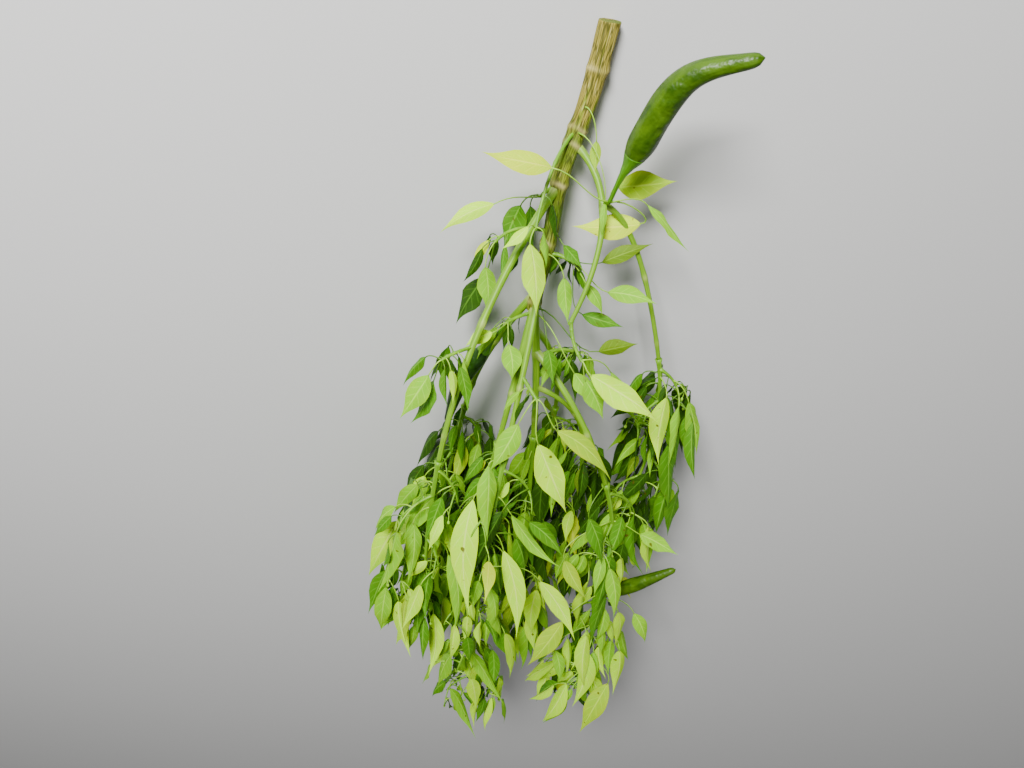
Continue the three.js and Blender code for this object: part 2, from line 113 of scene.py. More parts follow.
@dataclass(frozen=True)
class LeafSizes:
    """The sizes that leaves are drawn from; shares are of the blade's length."""

    length: tuple[float, float] = (66.0, 108.0)
    width: tuple[float, float] = (0.35, 0.43)
    petiole: tuple[float, float] = (0.26, 0.4)
    retries: int = 16
    crown_leaves: int = 3
    twig_nodes: tuple[float, ...] = (0.35, 0.55, 0.72, 0.88, 0.99)
    twig_radii: tuple[float, float] = (1.7, 1.0)
    overreach: float = 1.3
    space_gap: float = 3.0
    limb_gap: float = 2.0
    leaf_gap: float = 7.5
    seated_gap: float = 7.0
    slim: float = 0.7
    floor_gap: float = 0.3


SIZES = LeafSizes()


def lerp(start: Any, end: Any, share: float) -> Any:
    """The value or place at a share of the way from start to end."""
    return start + (end - start) * share


def smooth(value: Any, low: float, high: float) -> Any:
    """A soft step from 0 at low to 1 at high, for a number or an array."""
    share = np.clip((value - low) / (high - low), 0.0, 1.0)
    return share * share * (3 - 2 * share)


def outline(along: np.ndarray) -> np.ndarray:
    """Half a blade's width at shares of its length, 1 at its widest, with a drawn-out point."""
    bulge = np.sin(math.pi * np.clip(along, 0.0, 1.0) ** 0.72) ** 1.22
    foot = np.where(along < 0.5, 0.03, 0.0)
    return np.maximum(1.03 * bulge * (1 - 0.55 * smooth(along, 0.5, 1.0)), foot)


def unit(vector: np.ndarray) -> np.ndarray:
    """The same direction at length 1."""
    return vector / max(float(np.linalg.norm(vector)), 1e-9)


def radial(angle: float) -> np.ndarray:
    """A direction out from a stem that runs along Y."""
    return np.array([math.cos(angle), 0.0, math.sin(angle)])


def across_of(way: np.ndarray) -> tuple[np.ndarray, np.ndarray]:
    """Two directions at right angles to a way and to each other."""
    side = unit(np.cross(way, UP))
    return side, np.cross(side, way)


def cubic(shares: np.ndarray, start: Any, first: Any, second: Any, end: Any) -> np.ndarray:
    """Places on curves from start to end that two more places pull.

    Args:
        shares: numbers from 0 to 1.
        start: where they begin.
        first: the place that pulls the beginning.
        second: the place that pulls the end.
        end: where they end.

    Returns:
        The places.
    """
    left = 1 - shares
    near = start * left**3 + first * 3 * shares * left**2
    return near + second * 3 * shares**2 * left + end * shares**3


def on_ground(point: np.ndarray) -> np.ndarray:
    """The point, lifted so that it lies on the floor."""
    point[2] = max(point[2], LIE.ground_gap)
    return point


class Luck:
    """The same numbers between 0 and 1 for the same seed."""

    def __init__(self, seed: int) -> None:
        """Starts the row of numbers.

        Args:
            seed: any whole number.
        """
        self._state = seed & 0xFFFFFFFF
        self.draw()
        self.draw()

    def draw(self) -> float:
        """The next number between 0 and 1."""
        self._state = (self._state * 1664525 + 1013904223) & 0xFFFFFFFF
        return self._state / 4294967296

    def between(self, low: float, high: float) -> float:
        """The next number between low and high."""
        return low + (high - low) * self.draw()

    def about(self, width: float) -> float:
        """The next number within half a width of 0."""
        return (self.draw() - 0.5) * width


class Seed(IntEnum):
    """What a row of random numbers is for."""

    LEAF = 1009
    TWIG = 2003
    TWIGLET = 3001
    BETWEEN = 4001
    SPRAY = 5003
    BUD = 6007


class Course:
    """A smooth line through space whose places are found by their share of its length."""

    STEPS = np.linspace(0.0, 1.0, 201)
    STRIDE = 1e-4

    def __init__(self, place_at: Callable[[float], np.ndarray]) -> None:
        """Measures the line.

        Args:
            place_at: gives the place for a number from 0 to 1.
        """
        self._place_at = place_at
        points = np.array([place_at(step) for step in self.STEPS])
        strides = np.linalg.norm(np.diff(points, axis=0), axis=1)
        self._marks = np.concatenate([[0.0], np.cumsum(strides)])
        self.length = float(self._marks[-1])

    @classmethod
    def bent(cls, start: np.ndarray, bend: np.ndarray, end: np.ndarray) -> "Course":
        """A line from start to end by way of one bend."""
        return cls(lambda t: start * (1 - t) ** 2 + bend * 2 * t * (1 - t) + end * t * t)

    @classmethod
    def through(cls, places: Sequence[np.ndarray]) -> "Course":
        """A line that passes through each place, without overshooting between close ones.

        Args:
            places: the places in order.

        Returns:
            The line.
        """
        points = [2 * places[0] - places[1], *places, 2 * places[-1] - places[-2]]

        def place_at(t: float) -> np.ndarray:
            """The place on the stretch that t falls in.

            Args:
                t: a number from 0 to 1.

            Returns:
                The place.
            """
            along = t * (len(places) - 1)
            first = min(int(along), len(places) - 2)
            share = along - first
            p0, p1, p2, p3 = points[first : first + 4]
            strides = np.linalg.norm(np.diff([p0, p1, p2, p3], axis=0), axis=1)
            d0, d1, d2 = (max(float(stride) ** 0.5, cls.STRIDE) for stride in strides)
            t1 = ((p1 - p0) / d0 - (p2 - p0) / (d0 + d1) + (p2 - p1) / d1) * d1
            t2 = ((p2 - p1) / d1 - (p3 - p1) / (d1 + d2) + (p3 - p2) / d2) * d1
            c2 = -3 * p1 + 3 * p2 - 2 * t1 - t2
            c3 = 2 * p1 - 2 * p2 + t1 + t2
            return p1 + t1 * share + c2 * share**2 + c3 * share**3

        return cls(place_at)

    def _time(self, share: float) -> float:
        """The line's own number for a share of its length."""
        return float(np.interp(share * self.length, self._marks, self.STEPS))

    def at(self, share: float) -> np.ndarray:
        """The place at a share of the length."""
        return self._place_at(self._time(share))

    def way(self, share: float) -> np.ndarray:
        """The direction at a share of the length."""
        time = self._time(share)
        ahead = self._place_at(min(time + self.STRIDE, 1.0))
        return unit(ahead - self._place_at(max(time - self.STRIDE, 0.0)))

    def points(self, count: int) -> np.ndarray:
        """Evenly spaced places, both ends included."""
        return np.array([self.at(i / (count - 1)) for i in range(count)])


@dataclass
class Trace:
    """Short straight pieces with a radius, for measuring how far a point is from them."""

    starts: np.ndarray
    ends: np.ndarray
    radii: np.ndarray

    @classmethod
    def of(cls, course: Course, radius_at: Callable[[float], float], count: int) -> "Trace":
        """The trace of a course."""
        points = course.points(count + 1)
        radii = np.array([radius_at((i + 0.5) / count) for i in range(count)])
        return cls(points[:-1], points[1:], radii)

    @classmethod
    def joined(cls, traces: Iterable["Trace"]) -> "Trace":
        """All the pieces of several traces.

        Args:
            traces: the traces, or none.

        Returns:
            One trace.
        """
        kept = list(traces)
        if not kept:
            far = np.array([[1e6, 0.0, 0.0]])
            return cls(far, far + 1.0, np.zeros(1))
        parts = zip(*((trace.starts, trace.ends, trace.radii) for trace in kept))
        return cls(*(np.concatenate(part) for part in parts))

    def clearance(self, points: np.ndarray) -> np.ndarray:
        """How far each point is from the nearest piece's surface.

        Args:
            points: rows of x, y and z.

        Returns:
            One distance for each row.
        """
        along = self.ends - self.starts
        offsets = points[:, None, :] - self.starts[None]
        shares = np.einsum("pij,ij->pi", offsets, along) / np.maximum((along * along).sum(1), 1e-9)
        nearest = self.starts[None] + np.clip(shares, 0, 1)[..., None] * along[None]
        return (np.linalg.norm(points[:, None, :] - nearest, axis=2) - self.radii[None]).min(axis=1)


class Tint(Enum):
    """The tints that leaves are dealt."""

    PALE = "pale"
    LIME = "lime"
    FRESH = "fresh"
    DEEP = "deep"
    OLIVE = "olive"
    STRAW = "straw"
    YELLOW = "yellow"


@dataclass
class Leaf:
    """One leaf: where its petiole and blade run, the way that its outer side looks, and its bends."""

    SEEDING = np.array([613.0, 757.0, 877.0])

    root: np.ndarray
    base: np.ndarray
    tip: np.ndarray
    width: float
    face: np.ndarray
    tint: Tint = Tint.LIME
    seated: bool = False
    arch: float = field(init=False)
    sway: float = field(init=False)
    curl: float = field(init=False)
    twist: float = field(init=False)
    roll: float = field(init=False)
    fold: float = field(init=False)
    ripple: tuple[float, float, float] = field(init=False)

    def __post_init__(self) -> None:
        """Draws the blade's own bends from the place of its tip."""
        luck = Luck(int(abs(self.tip @ self.SEEDING)))
        self.arch = luck.between(-0.03, 0.09)
        self.sway = luck.between(-0.07, 0.07)
        self.curl = luck.between(-0.07, 0.12)
        self.twist = luck.between(-0.35, 0.35)
        self.roll = luck.between(-0.15, 0.15)
        self.fold = luck.between(0.12, 1.0) * (0.34 if self.seated else 0.8)
        self.ripple = (luck.between(0.0, 0.06), luck.between(7, 15), luck.between(0, 6))

    def surface(self, across: np.ndarray, along: np.ndarray, through: Any = 0.0) -> np.ndarray:
        """Places on the bent, folded and twisted blade.

        Args:
            across: shares of the half width, the outline included.
            along: shares of the length.
            through: millimetres out from the blade's middle sheet.

        Returns:
            Rows of x, y and z.
        """
        run = self.tip - self.base
        length = float(np.linalg.norm(run))
        side = unit(np.cross(self.face, run))
        half = self.width / 2 * (1.0 if self.seated else SIZES.slim)
        bow = 4 * along * (1 - along)
        lift = length * (self.arch * bow + self.curl * np.clip((along - 0.55) / 0.45, 0, 1) ** 2)
        turn = self.twist * (along - 0.3) + self.roll
        fold = self.fold * (0.55 + 0.45 * np.cos(math.pi * (along - 0.4)))
        height, waves, phase = self.ripple
        ripple = across**2 * half * 4 * height * np.sin(waves * along + phase + across)
        level = np.cos(turn)[:, None] * side - np.sin(turn)[:, None] * self.face
        normal = np.cos(turn)[:, None] * self.face + np.sin(turn)[:, None] * side
        width = across * half
        drop = ripple + through - np.abs(width) * np.sin(fold)
        places = self.base + np.outer(along, run) + np.outer(lift, self.face)
        places += np.outer(self.sway * length * bow, side)
        return places + level * (width * np.cos(fold))[:, None] + normal * drop[:, None]

    def marks(self) -> np.ndarray:
        """Points on the leaf that are tested against its neighbours."""
        along = self.tip - self.base
        side = unit(np.cross(self.face, along))
        half = self.width / 2
        rows = [self.root + (self.base - self.root) * 0.5, self.base]
        rows += [self.base + along * 0.36 + side * out for out in (-half, half)]
        rows.append(self.base + along * 0.5)
        rows += [self.base + along * 0.7 + side * out * 0.62 for out in (-half, half)]
        return np.array([*rows, self.tip])

    def body(self, spacing: float = 3.2) -> np.ndarray:
        """Points all over the blade and along the outer petiole.

        Args:
            spacing: how far the points are apart.

        Returns:
            Rows of x, y and z.
        """
        rows = max(int(np.linalg.norm(self.tip - self.base) / spacing), 4)
        shares = np.linspace(0.03, 0.98, rows)[:, None]
        across = np.linspace(-1.0, 1.0, max(int(self.width / spacing), 3))[None] * outline(shares)
        blade = self.surface(across.ravel(), np.broadcast_to(shares, across.shape).ravel())
        petiole = lerp(self.root, self.base, np.linspace(0.45, 1.0, 8)[:, None])
        return np.concatenate([blade, petiole])


@dataclass
class Limb:
    """A stem or bough: a curve with a taper and swollen nodes."""

    name: str
    radii: tuple[float, float]
    nodes: tuple[float, ...] = ()
    places: tuple[Place, ...] = ()
    parent: str = ""
    at: float = 0.0
    bend: Place = (0.0, 0.0, 0.0)
    to: Place = (0.0, 0.0, 0.0)
    course: Course = field(init=False, repr=False)

    def lay(self, laid: dict[str, "Limb"]) -> None:
        """Works out the course, from the parent's where there is one.

        Args:
            laid: the limbs so far, by name.
        """
        if self.places:
            self.course = Course.through([LIE.place(at) for at in self.places])
            return
        root = laid[self.parent].course.at(self.at)
        self.course = Course.bent(root, LIE.place(self.bend), LIE.place(self.to))

    def radius_at(self, share: float) -> float:
        """Even taper with a swelling at each node."""
        swell = sum(math.exp(-(((share - node) / 0.03) ** 2)) for node in self.nodes)
        return lerp(*self.radii, share) * (1 + 0.14 * swell)


@dataclass
class Fruit:
    """A fruit on its stalk: places of the calyx, the middle and the tip."""

    stalk: Place
    middle: Place
    tip: Place
    radius: float
    share: float = 0.97
    root: np.ndarray = field(default_factory=lambda: np.zeros(3), repr=False)

    @property
    def slender(self) -> bool:
        """Whether it is a young fruit."""
        return self.radius < 9.5

    def body_course(self) -> Course:
        """The line that the body follows."""
        return Course.through([LIE.place(at) for at in (self.stalk, self.middle, self.tip)])

    def trace(self) -> Trace:
        """The measure of its body."""
        return Trace.of(self.body_course(), lambda share: self.radius, 5)


@dataclass
class Growth:
    """A spray or mass: everything that grows on one stem, within its own space."""

    name: str
    to: Place
    reach: float
    seed: int
    parent: str
    at: float = 1.0
    bend: Place = (0.0, 0.0, 0.0)
    radii: tuple[float, float] = (2.0, 1.6)
    seated: tuple[tuple[Place, Place, float, Tint], ...] = ()
    fruits: tuple[Fruit, ...] = ()
    extra: int = 0
    twig_count: int = 0
    END = 0.97
    ROOT_ABOVE = 25.0
    ROLLS = (-0.3, 0.3)
    course: Course = field(init=False, repr=False)
    leaves: list[Leaf] = field(default_factory=list, repr=False)
    twigs: list[Course] = field(default_factory=list, repr=False)
    twiglets: list[Course] = field(default_factory=list, repr=False)

    def lay(self, limbs: dict[str, Limb]) -> None:
        """Works out the stem's course and roots the fruits and the placed leaves on it.

        Args:
            limbs: the laid stem and boughs, by name.
        """
        limb = limbs[self.parent]
        if self.twig_count:
            way = limb.course.way(1.0)
            start, end = limb.course.at(1.0) + way * 0.3, LIE.place(self.to)
            span = float(np.linalg.norm(end - start))
            self.course = Course.bent(start, start + way * 0.4 * span, end)
            self.radii = (limb.radii[1], 1.6)
        else:
            root = limb.course.at(self.at)
            self.course = Course.bent(root, LIE.place(self.bend), LIE.place(self.to))
        for fruit in self.fruits:
            fruit.root = self.course.at(fruit.share)
        for i, (base, tip, width, tint) in enumerate(self.seated):
            root = self.course.at(self.END)
            if self.twig_count:
                root = self._nearest(LIE.place(base) - DROOP * self.ROOT_ABOVE)
            self.leaves.append(self.seat(root, base, tip, width, tint, self.ROLLS[i % 2]))

    def _nearest(self, point: np.ndarray) -> np.ndarray:
        """The place on the stem that is nearest to a point."""
        places = self.course.points(41)
        return places[np.linalg.norm(places - point, axis=1).argmin()]

    @staticmethod
    def seat(
        root: np.ndarray, base: Place, tip: Place, width: float, tint: Tint, roll: float = 0.0
    ) -> Leaf:
        """A leaf that is placed one by one and turned towards the front.

        Args:
            root: where its petiole starts.
            base: the place where its blade starts.
            tip: the place where its blade ends.
            width: how wide it is.
            tint: its tint.
            roll: how far it is rolled about its own direction.

        Returns:
            The leaf.
        """
        start, end = LIE.place(base), LIE.place(tip)
        along = end - start
        out = unit(np.array([along[0], 0.0, along[2]])) - DROOP * FRONT
        return Leaf(root, start, end, width, face_of(out, along, roll), tint, True)

    def trace(self) -> Trace:
        """The measure of the growth's own space."""
        return Trace.of(self.course, lambda share: 0.0, 8)

    def luck(self, seed: Seed, index: int) -> Luck:
        """The row of random numbers for one of its leaves or twigs."""
        stride = 9176 if seed in (Seed.TWIG, Seed.BUD) else 7919
        return Luck(self.seed * seed + index * stride)


def face_of(out: np.ndarray, along: np.ndarray, roll: float) -> np.ndarray:
    """The way that a blade's outer side looks: away from its stem and a little to the front.

    Args:
        out: the direction away from the stem.
        along: the blade's own direction.
        roll: how far the blade is rolled about that direction.

    Returns:
        A direction at right angles to the blade's.
    """
    way = unit(along)
    look = out + UP * FRONT
    look = unit(look - way * float(look @ way))
    return look * math.cos(roll) + np.cross(way, look) * math.sin(roll)


MAIN_STEM = Limb(
    "main_stem",
    radii=(10.0, 6.6),
    nodes=(0.143, 0.335, 0.385, 0.525, 0.74, 0.97),
    places=((20, 165, 4.5), (13, 98, 6), (-3, 31, 8), (-6, -25, 7), (-15, -103, 10)),
)

BOUGHS = (
    Limb("bough_leader", (5, 3.2), (0.35, 0.85), (), "main_stem", 0.98,
         (0, -170, 14), (6, -262, 30)),
    Limb("bough_left_inner", (4.4, 3), (0.6,), (), "main_stem", 0.96,
         (-28, -160, 42), (-38, -258, 46)),
    Limb("bough_left_back", (4.6, 3), (0.42, 0.8), (), "main_stem", 0.93,
         (-62, -170, -22), (-72, -268, -26)),
    Limb("bough_left_front", (4.4, 2.8), (0.5, 0.9), (), "main_stem", 0.525,
         (-92, -66, 84), (-112, -221, 112)),
    Limb("bough_centre_front", (3.8, 2.6), (0.62,), (), "main_stem", 0.83,
         (-24, -110, 66), (-40, -222, 104)),
    Limb("bough_right_upper", (3.6, 2.2), (0.38,), (), "main_stem", 0.38,
         (60, 32, 54), (12, -81, 70)),
    Limb("bough_right_back", (2.9, 2.2), (0.5, 0.9), (), "bough_right_upper", 0.36,
         (78, 4, 26), (128, -150, 22)),
    Limb("bough_right_low", (3.9, 2.8), (0.6,), (), "bough_leader", 0.33,
         (44, -180, 74), (86, -282, 86)),
    Limb("bough_right_inner", (2.9, 2.2), (0.6,), (), "bough_leader", 0.6,
         (54, -214, 24), (66, -268, 24)),
    Limb("bough_back", (3.7, 2.6), (0.6,), (), "bough_leader", 0.17,
         (36, -186, -30), (44, -276, -36)),
)

SPRAYS = (
    Growth(
        "leaf_spray_top_right", (36, 30, 55), 50, 5, "bough_right_back", 0.02,
        (33, 28, 51), (2.2, 1.8),
        (
            ((76, 0, 33), (10, -6, 28), 25, Tint.YELLOW),
            ((47, 34, 34), (101, 41, 34), 27, Tint.STRAW),
            ((72, 28, 54), (114, -14, 60), 13, Tint.LIME),
            ((-25, 66, 70), (-93, 80, 80), 21, Tint.YELLOW),
        ),
        (Fruit((42, 71, 74), (66, 152, 101), (112, 178, 124), 13),),
        2,
    ),
    Growth(
        "leaf_spray_left_upper", (-22, 14, 14), 50, 7, "main_stem", 0.53,
        (-17, 20, 12), (2.4, 2),
        (
            ((-71, 23, 48), (-122, 0, 58), 16, Tint.PALE),
            # The leaves behind the stem are given a darker tint as painted shade.
            ((-38, -2, -2), (-50, -50, -8), 30, Tint.FRESH),
            ((-27, -6, -10), (-20, -54, -18), 26, Tint.FRESH),
        ),
        (),
        3,
    ),
    Growth(
        "leaf_spray_centre_upper", (-31, 4, 58), 40, 9, "main_stem", 0.335,
        (-22, 66, 38), (1.9, 1.4),
        (
            ((-36, -4, 66), (-27, -60, 90), 29, Tint.PALE),
            ((-40, 14, 70), (-64, -6, 74), 12, Tint.PALE),
        ),
        (),
        2,
    ),
    Growth(
        "leaf_spray_left_middle", (-64, -24, 26), 56, 13, "main_stem", 0.7,
        (-44, -8, 14), (2, 1.6),
        (
            ((-73, -44, 35), (-68, -88, 42), 22, Tint.LIME),
            ((-70, -72, 6), (-96, -126, 4), 28, Tint.DEEP),
        ),
        (),
        10,
    ),
    Growth(
        "leaf_spray_right_middle", (16, -46, 20), 62, 17, "main_stem", 0.78,
        (8, -40, 14), (2.3, 2),
        (
            ((28, -52, 46), (48, -78, 58), 17, Tint.LIME),
            ((52, -62, 44), (100, -66, 56), 18, Tint.LIME),
            ((46, -42, 26), (92, -18, 34), 16, Tint.OLIVE),
            ((34, -96, 28), (78, -104, 36), 15, Tint.FRESH),
        ),
        (),
        9,
    ),
    Growth(
        "leaf_spray_left_low", (-44, -106, 30), 60, 19, "bough_left_inner", 0.08,
        (-34, -104, 20), (2, 1.7),
        (
            ((-62, -100, 56), (-90, -112, 62), 15, Tint.PALE),
            ((-44, -114, 54), (-38, -150, 66), 21, Tint.LIME),
        ),
        (Fruit((-60, -140, 18), (-84, -186, 16), (-98, -250, 22), 10),),
        12,
    ),
    Growth(
        "leaf_spray_left_front", (-116, -104, 97), 56, 29, "bough_left_front", 0.58,
        (-108, -98, 94), (1.9, 1.6),
        (
            ((-128, -118, 100), (-154, -168, 102), 24, Tint.LIME),
            ((-122, -132, 90), (-138, -190, 86), 26, Tint.FRESH),
        ),
        (),
        5,
    ),
    Growth(
        "leaf_spray_centre", (-14, -152, 90), 56, 31, "bough_centre_front", 0.56,
        (-20, -146, 84), (2.2, 1.9),
        (
            ((10, -182, 102), (76, -238, 122), 24, Tint.STRAW),
            ((-10, -190, 114), (31, -270, 142), 31, Tint.PALE),
            ((-32, -172, 104), (-58, -226, 122), 24, Tint.LIME),
        ),
        (),
        9,
    ),
    Growth(
        "leaf_spray_right_upper", (26, -108, 88), 62, 43, "bough_right_upper", 0.98,
        (15, -96, 78), (2, 1.6),
        (
            ((34, -115, 99), (106, -144, 128), 31, Tint.PALE),
            ((34, -132, 84), (60, -178, 88), 22, Tint.LIME),
            ((60, -126, 78), (98, -186, 84), 20, Tint.LIME),
        ),
        (),
        10,
    ),
    Growth(
        "leaf_spray_right_back", (48, -164, -4), 62, 47, "bough_right_low", 0.04,
        (20, -150, 2), (2.4, 1.9),
        extra=10,
    ),
)

MASSES = (
    Growth(
        "leaf_mass_left_front", (-112, -500, 112), 60, 11, "bough_left_front", twig_count=8,
        seated=(
            ((-93, -359, 134), (-83, -460, 176), 23, Tint.LIME),
            ((-103, -487, 136), (-104, -580, 172), 23, Tint.PALE),
            ((-136, -309, 128), (-141, -387, 160), 21, Tint.LIME),
        ),
    ),
    Growth(
        "leaf_mass_centre_front", (-30, -692, 124), 60, 23, "bough_centre_front", twig_count=10,
        seated=(
            ((-59, -219, 118), (-58, -301, 152), 26, Tint.LIME),
            ((-71, -269, 124), (-63, -406, 178), 31, Tint.PALE),
            ((-27, -287, 130), (28, -343, 162), 19, Tint.LIME),
            ((-30, -341, 140), (-6, -452, 186), 25, Tint.PALE),
            ((-2, -315, 118), (42, -351, 142), 21, Tint.FRESH),
            ((21, -400, 142), (71, -473, 178), 22, Tint.PALE),
            ((-50, -563, 146), (-3, -640, 184), 21, Tint.LIME),
            ((-17, -570, 140), (-14, -640, 168), 17, Tint.FRESH),
            ((-68, -671, 148), (-30, -755, 184), 22, Tint.LIME),
        ),
    ),
    Growth(
        "leaf_mass_right_front", (112, -690, 118), 62, 37, "bough_right_low", twig_count=8,
        seated=(
            ((66, -306, 118), (88, -363, 144), 24, Tint.FRESH),
            ((49, -375, 128), (82, -424, 152), 18, Tint.STRAW),
            ((139, -352, 104), (184, -367, 124), 22, Tint.LIME),
            ((70, -572, 138), (82, -628, 160), 17, Tint.LIME),
            ((66, -494, 140), (26, -559, 170), 28, Tint.STRAW),
            ((159, -650, 146), (129, -734, 182), 28, Tint.STRAW),
            ((112, -712, 140), (79, -755, 160), 18, Tint.LIME),
            ((166, -503, 120), (187, -545, 140), 19, Tint.LIME),
        ),
        fruits=(Fruit((128, -462, 114), (150, -424, 126), (186, -386, 130), 9, 0.42),),
    ),
    Growth("leaf_mass_centre", (38, -640, 58), 56, 41, "bough_leader", twig_count=6),
    Growth("leaf_mass_left_inner", (-64, -610, 34), 56, 53, "bough_left_inner", twig_count=6),
    Growth(
        "leaf_mass_left_back", (-92, -560, -30), 58, 67, "bough_left_back", twig_count=5,
        fruits=(Fruit((-112, -430, -22), (-122, -478, -18), (-116, -524, -26), 10, 0.4),),
    ),
    Growth(
        "leaf_mass_back", (44, -590, -32), 58, 71, "bough_back", twig_count=5,
        fruits=(Fruit((66, -428, -34), (72, -478, -40), (62, -528, -44), 11, 0.3),),
    ),
    Growth("leaf_mass_right_inner", (80, -560, 22), 48, 97, "bough_right_inner", twig_count=5),
    Growth("leaf_mass_right_side", (142, -450, 14), 60, 83, "bough_right_back", twig_count=7),
)


@dataclass(frozen=True)
class Single:
    """A leaf that hangs by itself from a node of the main stem."""

    root: Place
    base: Place
    tip: Place
    width: float
    tint: Tint

    def leaf(self) -> Leaf:
        """The leaf in space."""
        return Growth.seat(LIE.place(self.root), self.base, self.tip, self.width, self.tint)


SINGLES = (
    Single((6, 74, 16), (33, 30, 50), (35, -8, 54), 7, Tint.LIME),
    Single((9, 96, 14), (22, 71, 25), (24, 44, 30), 11, Tint.STRAW),
    Single((-5, -16, 16), (3, -21, 35), (24, -39, 44), 14, Tint.FRESH),
    Single((-7, -40, 17), (9, -56, 30), (18, -100, 40), 17, Tint.LIME),
    Single((-14, -96, 17), (55, -130, 40), (92, -112, 50), 20, Tint.OLIVE),
    Single((-15, -101, 18), (28, -142, 60), (52, -172, 70), 20, Tint.LIME),
    Single((-12, -90, 17), (-2, -120, 52), (6, -156, 60), 16, Tint.FRESH),
)


def all_apart(points: np.ndarray, others: np.ndarray, gap: float) -> bool:
    """Whether each point is further than a gap from all the others."""
    return bool((np.linalg.norm(points[:, None] - others[None], axis=2) > gap).all())


class Room:
    """What is taken in a growth's space: marks, which leaves keep a gap from, and small cells."""

    CELL = 3.5

    def __init__(self, marks: Iterable[np.ndarray], cells: Iterable[tuple[int, ...]]) -> None:
        """Starts with what is there already.

        Args:
            marks: points on the stem.
            cells: cells that placed leaves pass through.
        """
        self._marks = list(marks)
        self._cells = set(cells)

    @classmethod
    def cells_of(cls, points: np.ndarray) -> set[tuple[int, ...]]:
        """The cells that points lie in."""
        return set(map(tuple, np.floor(points / cls.CELL).astype(int).tolist()))

    def apart(self, marks: np.ndarray, gap: float) -> bool:
        """Whether marks keep a gap from those that are there."""
        return not self._marks or all_apart(marks, np.array(self._marks), gap)

    def clear(self, points: np.ndarray, shared: float) -> bool:
        """Whether no more than a share of the points' cells is taken."""
        cells = self.cells_of(points)
        return len(cells & self._cells) <= shared * len(cells)

    def mark(self, marks: Iterable[np.ndarray]) -> None:
        """Adds marks."""
        self._marks.extend(marks)

    def fill(self, points: np.ndarray) -> None:
        """Takes the points' cells."""
        self._cells |= self.cells_of(points)


